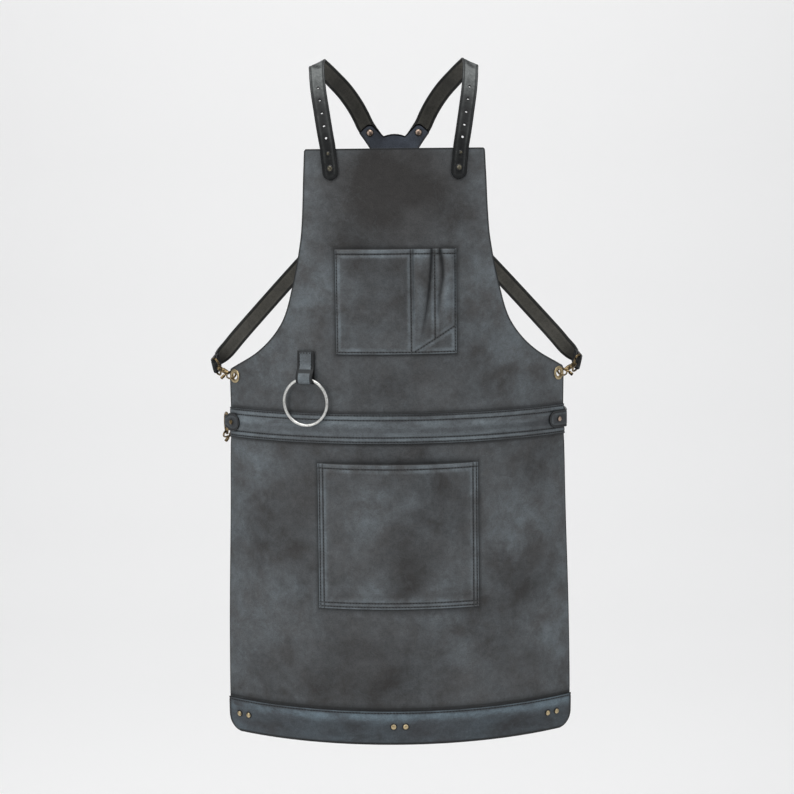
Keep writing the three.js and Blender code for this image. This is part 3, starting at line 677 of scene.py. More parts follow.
def strap_rows(points, turns, per):
    """Rows along a strap: place, width direction, outward direction and distance, in mm."""
    count, rows, run = per * (len(points) - 1), [], 0
    for i in range(count + 1):
        t = i / count
        p = through(points, t)
        way = through(points, min(t + 1e-4, 1)) - through(points, max(t - 1e-4, 0))
        way.normalize()
        w = through(turns, t)
        w = (w - way * w.dot(way)).normalized()
        run += (p - rows[-1][0]).length if rows else 0
        rows.append((p, w, way.cross(w), run))
    return rows


def strap_piece(name, rows, width, thick, face, skins, noses=(False, False),
                wear_and_painted_light=lambda t, s: 0.35, pressed=lambda s, run: 99):
    """face, 1 or -1, is the side that shows its grain; pressed gives the distance to a pressed line."""
    full = width(0) / 2
    u = [s / full for s in stations(-full, full, 4, [-full, 3 - full, full - 3, full])]
    length = rows[-1][3]

    def point(i, j):
        p, w, out, run = rows[j]
        half = width(run / length) / 2
        tip = min([length - run] * noses[1] + [run] * noses[0] + [half])
        half_here = half * max(math.sqrt(max(1 - (1 - tip / half) ** 2, 0)), 0.08)
        s = u[i] * half_here
        rim = min(half_here - abs(s), tip if tip < half else 99)
        line = min(rim - 3, pressed(s, run), key=abs)
        dip = channel(line) - 0.5 * ease(1 - rim / 1.6)
        dark = max(ease((1.8 - rim) / 1.2), 0.88 * near(line, 1))
        # The pale mark is the strap's own mark plus a strip inside each crease; round the crest of a
        # shoulder strap it is painted highlight.
        wear_and_highlight = wear_and_painted_light(run / length, s) + 0.35 * near(rim - 5.2, 2)
        place = (p - w * face * s + out * face * (thick / 2 + dip)) * MM
        return place, (s * MM, run * MM), (dark, wear_and_highlight)

    bm = laid_grid(len(u), len(rows), point)
    return finish_piece(name, bm, skins, "apron", thick - 0.2)


def mirrored(run, k):
    """Places and width directions of a strap's run, for the left or the right."""
    return [Vector((k * x, y, z)) for x, y, z, *_ in run], [Vector((k * a, b, c)) for *_, a, b, c in run]


def pierce(piece, holes):
    """Punch round holes, given as (place, direction, radius) in metres, and keep the result."""
    bm = bmesh.new()
    for place, way, radius in holes:
        turn = Matrix.Translation(place) @ way.to_track_quat("Z", "X").to_matrix().to_4x4()
        bmesh.ops.create_cone(bm, cap_ends=True, segments=24, radius1=radius, radius2=radius,
                              depth=0.02, matrix=turn)
    punch = put("punch", mesh_of("punch", bm, piece.data.materials, smooth=False))
    for face in punch.data.polygons:
        face.material_index = 2
    cut = piece.modifiers.new("holes", "BOOLEAN")
    cut.operation, cut.solver, cut.object = "DIFFERENCE", "EXACT", punch
    ready = piece.evaluated_get(bpy.context.evaluated_depsgraph_get())
    done = bpy.data.meshes.new_from_object(ready)
    piece.modifiers.clear()
    piece.data = done
    done.name = piece.name
    bpy.data.objects.remove(punch)


print("strap tools ready")

# %% [markdown]
# ## Shoulder straps and back yoke
# Each shoulder strap is studded to the bib, climbs over the shoulder and turns inwards to the yoke
# between the shoulder blades. Five adjusting holes are punched in its front run. The yoke is one
# X-shaped plate that all four back straps are riveted to.

# %% Shoulder straps
YOKE_Y, YOKE_THICK = 109, 2.6
STRAP_Y = YOKE_Y + YOKE_THICK / 2 + LAYER + STRAP / 2
FOOT = [(93.6, -172), (94.5, -155), (96.4, -138), (97.7, -124)]
OVER = [(101, -87.4, -104, -1, -0.1, 0.13), (106.6, -68, -71, -1, -0.04, 0.17),
        (112.2, -40, -37, -0.97, 0.03, 0.22), (114.6, -17, -10, -0.93, 0.05, 0.36),
        (114.5, 1, 1.6, -0.9, 0.08, 0.42), (106.5, 17, -5, -0.83, 0.06, 0.55),
        (93, 40, -18.5, -0.75, 0.02, 0.66), (76.5, 64, -36, -0.76, 0, 0.65),
        (62, 88, -56, -0.8, 0, 0.6), (51.5, 106, -75, -0.84, 0, 0.54),
        (45.5, STRAP_Y, -88, -0.85, 0, 0.53), (38, STRAP_Y, -100, -0.82, 0, 0.57),
        (29.5, STRAP_Y, -112, -0.8, 0, 0.6)]
PUNCHED = (-37.3, -54.5, -75.5, -93.5, -110.8)
SIDES = (("left", -1), ("right", 1))
for side, k in SIDES:
    points, turns = mirrored(OVER, k)
    foot = [skin(k * s, z, LAYER + STRAP / 2) / MM for s, z in FOOT]
    level = [Vector((-k, -0.16, rise)) for rise in (0.06, 0.08, 0.1, 0.11)]
    rows = strap_rows(foot + points, level + turns, 9)
    # The pale band round the crest of the shoulder is painted highlight.
    piece = strap_piece(f"shoulder_strap_{side}_hide", rows, lambda t: 23.6 + 4 * ease((t - 0.4) / 0.3),
                        STRAP, k, strap_skins, (True, False),
                        lambda t, s: 0.05 + 2.2 * near(t - 0.47, 0.1))
    front = [row for row in rows if row[0].y < 0]
    spots = [min(front, key=lambda row: abs(row[0].z - z)) for z in PUNCHED]
    pierce(piece, [(row[0] * MM, row[2], 1.8 * MM) for row in spots])
    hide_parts(f"shoulder_strap_{side}")
    print(piece.name, round(rows[-1][3]), "mm long")

# %% [markdown]
# The yoke is drawn as half an outline of straight and curved runs, mirrored, filled and inset once
# so that its dark edge has a strip of its own.

# %% Back yoke
YOKE_RUNS = [((33.5, -88.5),), ((39, -85), (44, -89)), ((54.5, -98.5),),
             ((26, -137), (27, -152)), ((28, -164), (60, -190)), ((47, -212),), ((43, -217), (37, -213)),
             ((32, -209),), ((12, -186), (0, -185))]


def yoke_outline():
    half = [(0, -101.9), (5.5, -102.3), (11, -103.4), (16.6, -105.2)]
    for run in YOKE_RUNS:
        x0, z0 = half[-1]
        if len(run) == 1:
            half.append(run[0])
            continue
        (xc, zc), (x1, z1) = run
        for t in (i / 8 for i in range(1, 9)):
            a, b, c = (1 - t) ** 2, 2 * t * (1 - t), t * t
            half.append((a * x0 + b * xc + c * x1, a * z0 + b * zc + c * z1))
    return half + [(-x, z) for x, z in half[-2:0:-1]]


def beside(ring):
    return {e.other_vert(v) for v in ring for e in v.link_edges}


bm = bmesh.new()
corners = [bm.verts.new((x * MM, (YOKE_Y - YOKE_THICK / 2) * MM, z * MM)) for x, z in yoke_outline()]
plate = bm.faces.new(corners)
seam_and_painted_shadow, wear_and_painted_light = bm.verts.layers.float.new("seam_and_painted_shadow"), bm.verts.layers.float.new("wear_and_painted_light")
for thickness in (0.8, 1.2, 1.4, 1.2):
    bmesh.ops.inset_region(bm, faces=[plate], thickness=thickness * MM, use_even_offset=True,
                           use_boundary=True)
bmesh.ops.triangulate(bm, faces=[plate], quad_method="BEAUTY", ngon_method="BEAUTY")
rim = {v for e in bm.edges if e.is_boundary for v in e.verts}
second = beside(rim) - rim
third = beside(second) - rim - second
for v in bm.verts:
    v[seam_and_painted_shadow] = 1 if v in rim else 0.5 if v in second else 0.55 if v in third else 0
    v[wear_and_painted_light] = 0.5
keep_flat(bm, lambda v: (v.co.x, v.co.z))
bmesh.ops.recalc_face_normals(bm, faces=bm.faces)
if sum(face.normal.y * face.calc_area() for face in bm.faces) > 0:
    bmesh.ops.reverse_faces(bm, faces=bm.faces)
yoke = finish_piece("yoke_plate", bm, (yoke_grain, yoke_grain, cut_edge_and_shadow), "apron",
                    YOKE_THICK)
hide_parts("back_yoke")
print("yoke faces", len(yoke.data.polygons))

# %% [markdown]
# ## Snap hooks, side straps and waist strap
# A trigger snap hook clips each side strap to its grommet. The strap end is folded round the bar of
# the hook's eye and sewn back on itself. The third hook clips the waist strap to a ring in a tab at
# the waist, and that strap runs round the back to the other end of the waistband.

# %% Hook places
BAR_AT, BAR_WIRE, BAR_HALF, BAR_SLACK = 38, 1.6, 15.4, 0.35
HANG_S, HANG_Z = 279.4, -465.7


def across_from(axis, way):
    return (way - axis * way.dot(axis)).normalized()


def hook_place(spot, a, b, bar):
    """Frames of a hook's body and of its eye, and the middle and direction of the strap bar."""
    axis = a.normalized()
    ways = (across_from(axis, b), across_from(axis, bar))
    body, eye = (frame_at(spot * MM, axis, way, axis.cross(way)) for way in ways)
    return {"body": body, "eye": eye, "bar": spot + axis * BAR_AT, "w": ways[1]}


def strap_fold(place, run, side):
    """Points of a strap end that comes in, goes round the hook's bar and runs out again."""
    t = across_from(place["w"], run)
    n = t.cross(place["w"]) * side
    r = BAR_WIRE + BAR_SLACK + STRAP / 2
    tail = r - STRAP - LAYER
    flat = [(15, tail), (12, tail - 0.2), (8, tail - 1.4), (4, -r)]
    flat += [(-math.sin(a) * r, -math.cos(a) * r) for a in HALF_TURN]
    flat += [(4, r), (8, r), (12, r), (15, r)]
    return [place["bar"] + t * f + n * o for f, o in flat]


hooks = {}
for side, k in SIDES:
    hooks[f"side_hook_{side}"] = hook_place(
        skin(k * HANG_S, HANG_Z, 0) / MM, Vector((k * 0.71, 0.62, 0.33)),
        Vector((k * 0.72, -0.52, -0.62)), Vector((k * 0.14, -0.54, 0.83)))
WAIST_Z, STRAP_Z, RING_S = -537, -536.5, -291
bar_foot = skin(RING_S, WAIST_Z, 0.2) / MM


def bow_point(back, up):
    return bar_foot + Vector((-0.3, 0.954, 0)) * back + UP * up


waist_axis = Vector((0.5, 0.8, -0.33)).normalized()
hooks["waist_hook"] = hook_place(bow_point(8.5, -19.5) + waist_axis * 2.8, waist_axis,
                                 Vector((-0.5, 0.2, -0.84)), Vector((0.1, 0.3, 0.9)))
print("hooks:", list(hooks))

# %% Side straps and waist strap
SIDE_RUN = [(262, 28.5, -432, 0.64, -0.14, 0.75), (246, 47, -413, 0.73, -0.03, 0.68),
            (222, 74, -386, 0.74, -0.02, 0.67), (160, 101, -318, 0.74, 0, 0.67),
            (104, STRAP_Y, -259, 0.73, 0, 0.68), (62, STRAP_Y, -217, 0.75, 0, 0.66),
            (45, STRAP_Y, -201, 0.75, 0, 0.66), (36, STRAP_Y, -192.8, 0.75, 0, 0.66)]
for side, k in SIDES:
    place = hooks[f"side_hook_{side}"]
    loop = strap_fold(place, Vector((k * -0.44, 0.65, 0.62)), k)
    points, turns = mirrored(SIDE_RUN, k)
    rows = strap_rows(loop + points, [place["w"]] * len(loop) + turns, 9)
    piece = strap_piece(f"side_strap_{side}_hide", rows, lambda t: 25.5, STRAP, k, strap_skins)
    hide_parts(f"side_strap_{side}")
BACK_RUN = [(-186, 118, -564), (-105, 152, -557), (0, 165, -550), (105, 154, -543), (192, 116, -539),
            (240, 68, -537), (257, 28, STRAP_Z), (259.2, 4, STRAP_Z), (259, -6, STRAP_Z),
            (258.4, -11.5, STRAP_Z)]
place = hooks["waist_hook"]
loop = strap_fold(place, Vector((0.42, 0.88, -0.06)), 1)
front_h = 2 * LAYER + BAND + STRAP / 2
run = [Vector(p) for p in BACK_RUN]
run += [skin(s, STRAP_Z, front_h) / MM for s in (283.2, 276, 262, 247)]
waist_rows = strap_rows(loop + run, [place["w"]] * len(loop) + [UP] * len(run), 9)
waist_strap = strap_piece("waist_strap_hide", waist_rows, lambda t: 26.5, STRAP, -1, band_skins,
                          (False, True), lambda t, s: 0.15)
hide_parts("waist_strap")
TAB = 2.2
tab_round = BAR_WIRE + BAR_SLACK + TAB / 2
tab_front, tab_back = 2 * LAYER + BAND + TAB / 2, -PANEL - 2 * LAYER - TAB / 2
tab_line = [(s, tab_front) for s in (-259.5, -268, -276, -283)]
tab_line += [(RING_S - math.sin(a) * tab_round, 0.2 + math.cos(a) * tab_round)
             for a in HALF_TURN]
tab_line += [(s, tab_back) for s in (-283, -276, -268, -263)]
points = [skin(s, WAIST_Z, h) / MM for s, h in tab_line]
waist_tab = strap_piece("waist_tab_hide", strap_rows(points, [UP] * len(points), 7),
                        lambda t: 28 - 9 * ease((t - 0.26) / 0.18), TAB, -1, band_skins,
                        (True, False), lambda t, s: 0.15)
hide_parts("waist_tab")
print("waist strap", round(waist_rows[-1][3]), "mm long")

# %% [markdown]
# ## Metal
# The hooks, grommets and most rivets are antique brass: a dark wash is left in the hollows and the
# high places are buffed. The rivets of the yoke and of the waist strap are paler copper, and the
# tool ring is plain satin steel.

# %% Metal finishes
def metal(name, bright, dark, rough, low, high):
    """The dark wash fades out between the low and the high places of the stain."""
    paint, tree, shader = new_finish(name)
    place = node(tree, "ShaderNodeTexCoord").outputs["Object"]
    stain = noise(tree, place, 210, 4, 0.65, 0.4)
    wash = ramp(tree, stain, [(low, 0.0), (high, 1.0)])
    feed(tree, mixed(tree, "MIX", wash, srgb(*dark), srgb(*bright)), shader.inputs["Base Color"])
    feed(tree, ramp(tree, stain, [(0.3, rough + 0.2), (0.65, rough)]), shader.inputs["Roughness"])
    shader.inputs["Metallic"].default_value = 1
    grit = node(tree, "ShaderNodeBump", Strength=0.12, Distance=0.0003,
                Height=noise(tree, place, 1500, 2, 0.6))
    feed(tree, grit.outputs[0], shader.inputs["Normal"])
    return paint


brass = metal("antique_brass", (150, 130, 96), (24, 20, 15), 0.26, 0.38, 0.62)
pale_brass = metal("pale_brass", (192, 174, 138), (62, 53, 38), 0.26, 0.26, 0.46)
dull_brass = metal("dull_brass", (118, 113, 98), (44, 42, 37), 0.36, 0.36, 0.6)
copper = metal("copper", (182, 160, 144), (82, 66, 56), 0.36, 0.32, 0.56)
steel = metal("ring_steel", (222, 222, 218), (168, 168, 166), 0.3, 0.25, 0.5)
print("metals:", [m.name for m in (brass, pale_brass, dull_brass, copper, steel)])

# %% [markdown]
# Turned shapes are made by spinning half a section round an axis, and bent bars by bridging circles
# along a line. Both are gathered into one mesh per piece.

# %% Metal tools
def gather(bm, part):
    mesh = mesh_of("part", part)
    bm.from_mesh(mesh)
    bpy.data.meshes.remove(mesh)


def turned(bm, section, place, steps):
    """Spin (radius, height) points, in mm, round the Z axis of a place."""
    part = bmesh.new()
    spots = [part.verts.new((r * MM, 0, h * MM)) for r, h in section]
    edges = [part.edges.new(pair) for pair in zip(spots, spots[1:])]
    bmesh.ops.spin(part, geom=spots + edges, axis=(0, 0, 1), cent=(0, 0, 0), steps=steps,
                   angle=2 * math.pi, use_merge=True)
    bmesh.ops.remove_doubles(part, verts=part.verts, dist=1e-6)
    bmesh.ops.recalc_face_normals(part, faces=part.faces)
    bmesh.ops.transform(part, matrix=place, verts=part.verts)
    gather(bm, part)


def bent_bar(bm, line, radius, place=Matrix(), sides=12, closed=False):
    """Round bar along points in mm; radius is one value or one per point."""
    part = bmesh.new()
    radii = radius if isinstance(radius, list) else [radius] * len(line)
    rings, up = [], None
    for i, p in enumerate(line):
        ahead = line[(i + 1) % len(line)] if closed or i + 1 < len(line) else p
        behind = line[i - 1] if closed or i else p
        way = (ahead - behind).normalized()
        up = across_from(way, up or way.orthogonal())
        circle = bmesh.ops.create_circle(part, segments=sides, radius=radii[i] * MM,
                                         matrix=frame_at(p * MM, up, way.cross(up), way))["verts"]
        rings.append(list({e for v in circle for e in v.link_edges}))
    for a, b in zip(rings, rings[1:] + rings[:1] if closed else rings[1:]):
        bmesh.ops.bridge_loops(part, edges=a + b)
    if not closed:
        for ring in (rings[0], rings[-1]):
            bmesh.ops.contextual_create(part, geom=ring)
    bmesh.ops.recalc_face_normals(part, faces=part.faces)
    bmesh.ops.transform(part, matrix=place, verts=part.verts)
    gather(bm, part)


def smooth_line(points, per):
    count = per * (len(points) - 1)
    return [through(points, i / count) for i in range(count + 1)]


def seat(s, z, h):
    """Frame on the leather: Z stands out of it and X runs across."""
    a = s / along(WRAP, z)
    x, n = Vector((math.cos(a), math.sin(a), 0)), Vector((math.sin(a), -math.cos(a), 0))
    return frame_at(skin(s, z, h), x, n.cross(x), n)


print("metal tools ready")

# %% [markdown]
# ## Rivets, studs and grommets
# Double-cap rivets show a low dome with a rolled edge, set in a dark pressed ring, and a flat cap behind.
# The rolled edge and the ring are dark as painted shadow round the rim. A grommet is a rolled flange on
# each face joined by a sleeve, and the bib is punched right through for it.

# %% Rivets and grommets
def rivet(name, node_name, place, head, stack, paint):
    back = -stack - 0.5
    section = [(0, back - 0.9), (head * 0.72, back - 0.9), (head * 0.8, back - 0.6), (head * 0.8, back),
               (1.5, back), (1.5, 0.3), (head * 0.94, 0.3), (head, 0.55), (head, 0.95),
               (head * 0.93, 1.3), (head * 0.84, 1.35), (head * 0.78, 1.6), (head * 0.6, 2.25),
               (head * 0.4, 2.65), (head * 0.2, 2.85), (0, 2.9)]
    bm = bmesh.new()
    turned(bm, [(head * 0.8, 0.02), (head + 0.9, 0.02), (head + 0.9, 0.14), (head * 0.8, 0.3)], place, 28)
    turned(bm, section, place, 28)
    # The rolled edge and the ring round the head take the dark edge finish, as painted shadow round the
    # rim.
    level_with_hide = place.inverted()
    for face in bm.faces:
        spot = level_with_hide @ face.calc_center_median()
        face.material_index = spot.z > 0 and spot.xy.length > 0.86 * head * MM
    piece = finish_piece(name, bm, (paint, cut_edge_and_shadow), "apron")
    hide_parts(node_name)


HEM_RIVETS, HEM_RIVET_Z = (-262.5, -245, -10, 8, 237, 254), -987
GROMMET_S, GROMMET_Z, GROMMET_HOLE = 271.5, -466.7, 6.85
for i, s in enumerate(HEM_RIVETS, 1):
    rivet(f"hem_cap_{i}", f"hem_rivet_{i}", seat(s, HEM_RIVET_Z, LAYER + BAND), 4.5,
          BAND + LAYER + PANEL, pale_brass)
for side, k in SIDES:
    for word, s, z, head in (("stud", 94.5, -155, 4.2), ("eyelet", 97, -133.5, 2.6)):
        rivet(f"strap_{word}_cap_{side}", f"strap_{word}_{side}", seat(k * s, z, 2 * LAYER + STRAP), head,
              STRAP + 2 * LAYER + PANEL, dull_brass)
    for word, x, z in (("yoke_rivet", 38, -100), ("yoke_lower_rivet", 45, -201)):
        place = (Matrix.Translation(Vector((k * x, YOKE_Y - YOKE_THICK / 2, z)) * MM)
                 @ Matrix.Rotation(math.pi / 2, 4, "X"))
        rivet(f"{word}_cap_{side}", f"{word}_{side}", place, 5.3, YOKE_THICK + LAYER + STRAP, copper)
rivet("waist_tab_cap", "waist_tab_rivet", seat(-276, WAIST_Z, tab_front + TAB / 2), 4.2,
      tab_front - tab_back + TAB, brass)
rivet("waist_strap_cap", "waist_strap_rivet", seat(267, STRAP_Z, front_h + STRAP / 2), 4.2,
      STRAP + LAYER + BAND, copper)
FLANGE = [(5.6, -0.6), (5.7, 0.6), (6.4, 1.25), (7.4, 1.5), (8.8, 1.35), (10.0, 0.95), (10.6, 0.5),
          (6.5, 0.5), (6.5, -2.5), (10.6, -2.5), (10.0, -3.0), (8, -3.1), (6.3, -3.0), (5.6, -2.4),
          (5.6, -0.6)]
for side, k in SIDES:
    bm = bmesh.new()
    turned(bm, FLANGE, seat(k * GROMMET_S, GROMMET_Z, -0.38), 36)
    piece = finish_piece(f"grommet_ring_{side}", bm, (pale_brass,), "apron")
    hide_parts(f"grommet_{side}")
seats = [seat(k * GROMMET_S, GROMMET_Z, 0) for _, k in SIDES]
pierce(bib, [(spot.translation, spot.col[2].to_3d(), GROMMET_HOLE * MM) for spot in seats])
print("caps:", sum("_cap" in o.name for o in bpy.data.objects))

# %% [markdown]
# ## Tool ring
# A strip of hide is sewn to the bib, folded into a loop and sewn again, and a steel ring hangs
# loosely in the loop. The ring swings out from the leather, so it rides its own body.

# %% Ring tab and ring
RING = {"s": -136.5, "z": -465, "h": 6.4, "radius": 34.7, "wire": 2.3, "sag": 1.35}
LOOP, LOOP_ROUND = 2.0, 5.2
lie = LAYER + LOOP / 2
loop_line = [(-422, lie + LOOP + LAYER), (-434, lie + LOOP + LAYER), (-446, lie + LOOP + LAYER + 0.6),
             (-456, RING["h"] + 3.6), (RING["z"] + 3, RING["h"] + LOOP_ROUND)]
loop_line += [(RING["z"] - 0.1 - math.sin(a) * LOOP_ROUND, RING["h"] + math.cos(a) * LOOP_ROUND)
              for a in HALF_TURN]
loop_line += [(RING["z"] + 3, RING["h"] - LOOP_ROUND), (-452, lie), (-440, lie), (-426, lie)]
points = [skin(RING["s"], z, h) / MM for z, h in loop_line]
ring_across = seat(RING["s"], RING["z"], 0).col[0].to_3d()


def tab_frame_and_shadow(s, run):
    """The sewn frame of the tab and the bend below it are pressed down and darkened; the dark band at the
    bend is painted shadow.
    """
    return 0.1 if abs(s) > 9.6 or run < 3.4 or 28.5 < run < 35 else 99


ring_tab = strap_piece("ring_tab_hide", strap_rows(points, [ring_across] * len(points), 7),
                       lambda t: 27, LOOP, 1, band_skins,
                       wear_and_painted_light=lambda t, s: 1.2 * (abs(s) < 9), pressed=tab_frame_and_shadow)
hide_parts("ring_tab")
hub = skin(RING["s"], RING["z"], RING["h"]) / MM + UP * (RING["sag"] - RING["radius"])
bm = bmesh.new()
bent_bar(bm, [hub + (ring_across * math.cos(a) + UP * math.sin(a)) * RING["radius"]
              for a in (math.tau * i / 96 for i in range(96))], RING["wire"], sides=16, closed=True)
ring = finish_piece("tool_ring_bar", bm, (steel,), "hanging_ring")
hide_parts("tool_ring")
print("ring outer diameter", round(2 * (RING["radius"] + RING["wire"]), 1), "mm")

# %% [markdown]
# ## Snap hooks
# Each hook is a cast body with a bent nose, a spring trigger with a thumb lever that closes the nose,
# and a swivelling eye that carries the strap. The trigger turns on its own body.

# %% Hooks
NOSE, NOSE_WIRE = 7.1, 1.5
SPIN = Matrix.Rotation(math.pi / 2, 4, "Y")
SHANK = [(0, 6.0), (1.8, 6.2), (2.6, 7.2), (3.2, 9.0), (3.3, 9.8), (3.8, 12.2), (3.9, 12.8), (3.9, 14.8),
         (3.5, 15.1), (3.5, 15.7), (3.9, 16), (3.9, 19.5), (3.3, 21.2), (2.8, 22), (3.2, 23), (3.2, 24),
         (1.6, 24), (1.6, 29), (2.5, 29), (2.7, 29.4), (2.6, 30.4), (1.9, 31), (0, 31.1)]
COLLAR = [(1.9, 24.4), (3.3, 24.4), (3.8, 24.9), (3.9, 26.5), (3.8, 28.1), (3.3, 28.6), (1.9, 28.6),
          (1.9, 24.4)]
LEVER = [(8.3, (2.4, 11, 2.8)), (10.1, (3.4, 7.4, 4.4))]


def on_nose(degrees):
    a = math.radians(degrees)
    return Vector((math.cos(a), math.sin(a), 0)) * NOSE


def hook_pieces(name, place, trigger_body):
    bm = bmesh.new()
    bend = [on_nose(-262 * i / 40) for i in range(41)]
    swell = [NOSE_WIRE * (1.25 - 0.35 * i / 40) for i in range(41)]
    bent_bar(bm, bend, swell, place["body"])
    turned(bm, SHANK, place["body"] @ SPIN, 20)
    body = finish_piece(f"{name}_cast", bm, (brass,), "apron")
    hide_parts(f"{name}_body")

    bm = bmesh.new()
    swing = Vector((NOSE + 0.6, 3.4, 0))
    gate = smooth_line([swing] + [on_nose(d) for d in (40, 55.3, 70.7, 86)], 5)
    bent_bar(bm, gate, 1.25, place["body"], 10)
    for middle, size in LEVER:
        lever = bmesh.new()
        bmesh.ops.create_cube(lever, size=1, matrix=Matrix.Diagonal((*size, 1 / MM)) * MM)
        bmesh.ops.bevel(lever, geom=lever.edges, offset=0.7 * MM, segments=3, profile=0.5, affect="EDGES",
                        material=-1)
        stand = Matrix.Translation(Vector((8.9, middle, 0)) * MM)
        bmesh.ops.transform(lever, matrix=place["body"] @ stand, verts=lever.verts)
        gather(bm, lever)
    trigger = finish_piece(f"{name}_lever", bm, (brass,), trigger_body)
    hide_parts(f"{name}_trigger")

    bm = bmesh.new()
    mid = 26.5
    half = [(mid, 2.9), (mid + 0.2, 7), (mid + 1.6, 12.6), (mid + 4.4, BAR_HALF), (BAR_AT - 2, BAR_HALF),
            (BAR_AT, BAR_HALF - 2), (BAR_AT, 5)]
    bow = [Vector((a, b, 0)) for a, b in half] + [Vector((a, -b, 0)) for a, b in reversed(half)]
    bent_bar(bm, smooth_line(bow, 5), BAR_WIRE, place["eye"], 10)
    turned(bm, COLLAR, place["eye"] @ SPIN, 20)
    eye = finish_piece(f"{name}_swivel", bm, (brass,), "apron")
    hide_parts(f"{name}_eye")


for side, k in SIDES:
    hook_pieces(f"side_hook_{side}", hooks[f"side_hook_{side}"], f"{side}_trigger")
hook_pieces("waist_hook", hooks["waist_hook"], "waist_trigger")
HALF_BOW, BOW_TOP = [(0, 19), (3, 19.8), (10, 19), (15.5, 11), (17, 0)], 0.6
bow = [bow_point(b, u * BOW_TOP) for b, u in HALF_BOW] + [bow_point(b, -u) for b, u in HALF_BOW[-2::-1]]
bm = bmesh.new()
bent_bar(bm, smooth_line(bow, 6), BAR_WIRE, sides=10)
bent_bar(bm, [bow_point(0, 19.4 * BOW_TOP), bow_point(0, -19.4)], BAR_WIRE, sides=10)
waist_ring = finish_piece("waist_ring_bar", bm, (brass,), "apron")
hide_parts("waist_ring")
print("hooks made:", len(hooks))

# %% [markdown]
# ## Stitching
# Everything is sewn with thick dark thread that sits in the pressed channels. One stitch is a small
# stretched ball, and a seam is a row of them at an even pitch along a line on the pattern.

# %% Stitches
thread = leather("thread", (16, 17, 18), (26, 27, 28), (40, 42, 44), rough=0.5)
PITCH, LONG, FAT = 4.7, 1.35, 0.9
STITCH = Matrix.Diagonal((LONG * MM, FAT * MM, FAT * MM, 1))
SINK, SEW_INSET = 0.1, 4


def sew(name, lines, height):
    """lines are lists of (s, z) corners; height(s, z) is the stand-off of the leather there."""
    bm = bmesh.new()
    for line in lines:
        for (s0, z0), (s1, z1) in zip(line, line[1:]):
            count = max(1, round(math.hypot(s1 - s0, z1 - z0) / PITCH))
            for i in range(count):
                t, step = (i + 0.5) / count, 0.5 / count
                s, z = s0 + (s1 - s0) * t, z0 + (z1 - z0) * t
                ds, dz = (s1 - s0) * step, (z1 - z0) * step
                place = skin(s, z, height(s, z) + SINK)
                ahead = skin(s + ds, z + dz, height(s + ds, z + dz) + SINK)
                way = (ahead - place).normalized()
                out = across_from(way, seat(s, z, 0).col[2].to_3d())
                laid = frame_at(place, way, out.cross(way), out)
                bmesh.ops.create_icosphere(bm, subdivisions=1, radius=1, matrix=laid @ STITCH)
    bm.loops.layers.uv.new("cut")
    return finish_piece(name, bm, (thread,), "apron")


def band_face(s, z):
    return LAYER + BAND - 0.5


def pocket_face(lift):
    return lambda s, z: LAYER + POCKET + lift(s, z) - 0.5


def across_band(z):
    half = half_width(z) - SEW_INSET
    return [(-half, z), (half, z)]


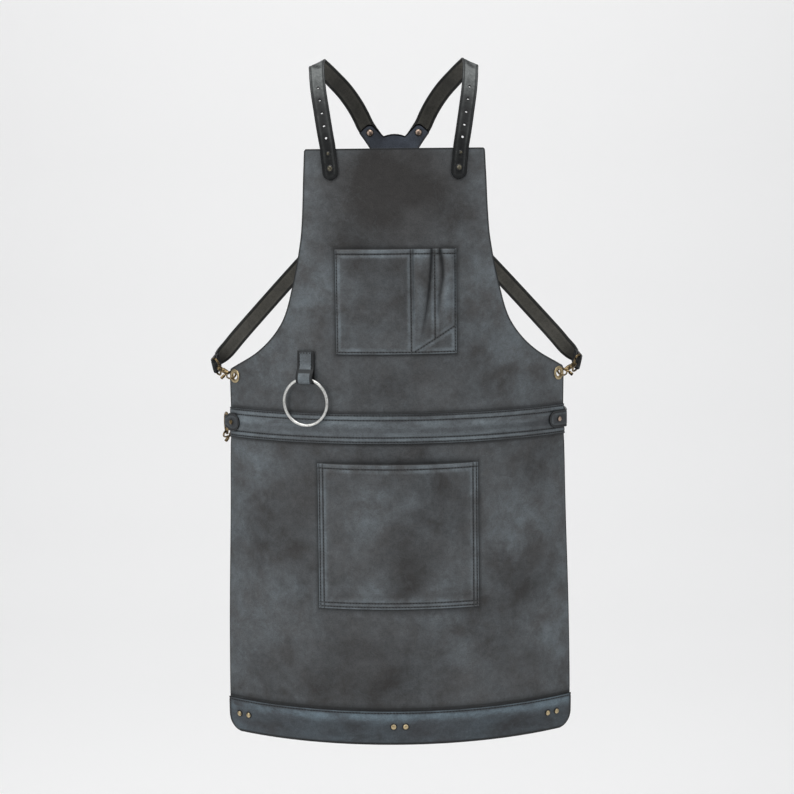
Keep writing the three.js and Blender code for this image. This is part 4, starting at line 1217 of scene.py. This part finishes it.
mouth = SKIRT_POCKET["top"]
runs = [[(k * side, z) for k, z in ((-1, mouth - 1), (-1, floor), (1, floor), (1, mouth - 1))]
        for side, floor in zip(SKIRT_SIDES, SKIRT_FLOORS)]
skirt_sewn = sew("skirt_pocket_stitches", runs + [[(-111, mouth - FOLD), (111, mouth - FOLD)]],
                 pocket_face(skirt_lift))
mouth = CHEST["top"]
runs = [[(-CHEST_SIDE, mouth - 1), (-CHEST_SIDE, CHEST_FLOOR), (CHEST_SIDE, CHEST_FLOOR),
         (CHEST_SIDE, mouth - 1)],
        [(CHEST_WALL, mouth - 1), (CHEST_WALL, CHEST_FLOOR)],
        [(PEN_SEAM, mouth - 4), (PEN_SEAM, slant(PEN_SEAM))], [(26, CHEST_FLOOR), (87, slant(87))]]
runs += [[(a, mouth - FOLD), (b, mouth - FOLD)] for a, b in ((-84, 19), (27, 53), (59, 85))]
chest_sewn = sew("chest_pocket_stitches", runs, pocket_face(chest_lift))
waist_sewn = sew("waistband_stitches", [across_band(z) for z in WAIST_ROWS], band_face)
hem_sewn = sew("hem_stitches", [across_band(z) for z in HEM_ROWS], band_face)
box = [(RING["s"] + a, z) for a, z in ((-9.5, -425.5), (9.5, -425.5), (9.5, -450), (-9.5, -450),
                                       (-9.5, -425.5))]
tab_face = lie + LOOP + LAYER + LOOP / 2 - 0.1
tab_sewn = sew("ring_tab_stitches", [box], lambda s, z: tab_face + max(0, (-434 - z) * 0.06))
sewn = (skirt_sewn, chest_sewn, waist_sewn, hem_sewn, tab_sewn)
print("stitches:", sum(len(p.data.polygons) // 20 for p in sewn))

# %% [markdown]
# ## Flat cuts
# Each hide's flat size, as cut on the table, is printed. The panels and bands are not rectangles, so
# their flat area is summed from the outline.

# %% Sheets
def cut_area(low, high, inset=0):
    count = 200
    rows = [low + (high - low) * (i + 0.5) / count for i in range(count)]
    return sum(2 * (half_width(z) - inset) for z in rows) * (high - low) / count * MM * MM


CUTS = [(bib, 0.5656, 0.4045, cut_area(BIB_BOTTOM, BIB_TOP),
         ["shoulder_strap_left_hide", "shoulder_strap_right_hide"], []),
        (skirt, 0.571, 0.457, cut_area(SKIRT_BOTTOM, SKIRT_TOP, SKIRT_INSET), ["waist_band"], []),
        (waistband, 0.565, 0.046, cut_area(BAND_BOTTOM, BAND_TOP), ["bib"], [waist_sewn]),
        (hem, 0.567, 0.052, cut_area(HEM_BOTTOM, HEM_TOP), ["skirt"], [hem_sewn]),
        (skirt_pocket, 0.254, 0.225, None, ["skirt"], [skirt_sewn]),
        (chest_pocket, 0.204, 0.16, None, ["bib"], [chest_sewn])]
for piece, wide, tall, area, holder, seams in CUTS:
    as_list(holder)
    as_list(seams)
    print(piece.name, "cut", wide, "x", tall, "m", "" if area is None else f"area {area:.4f} m2")
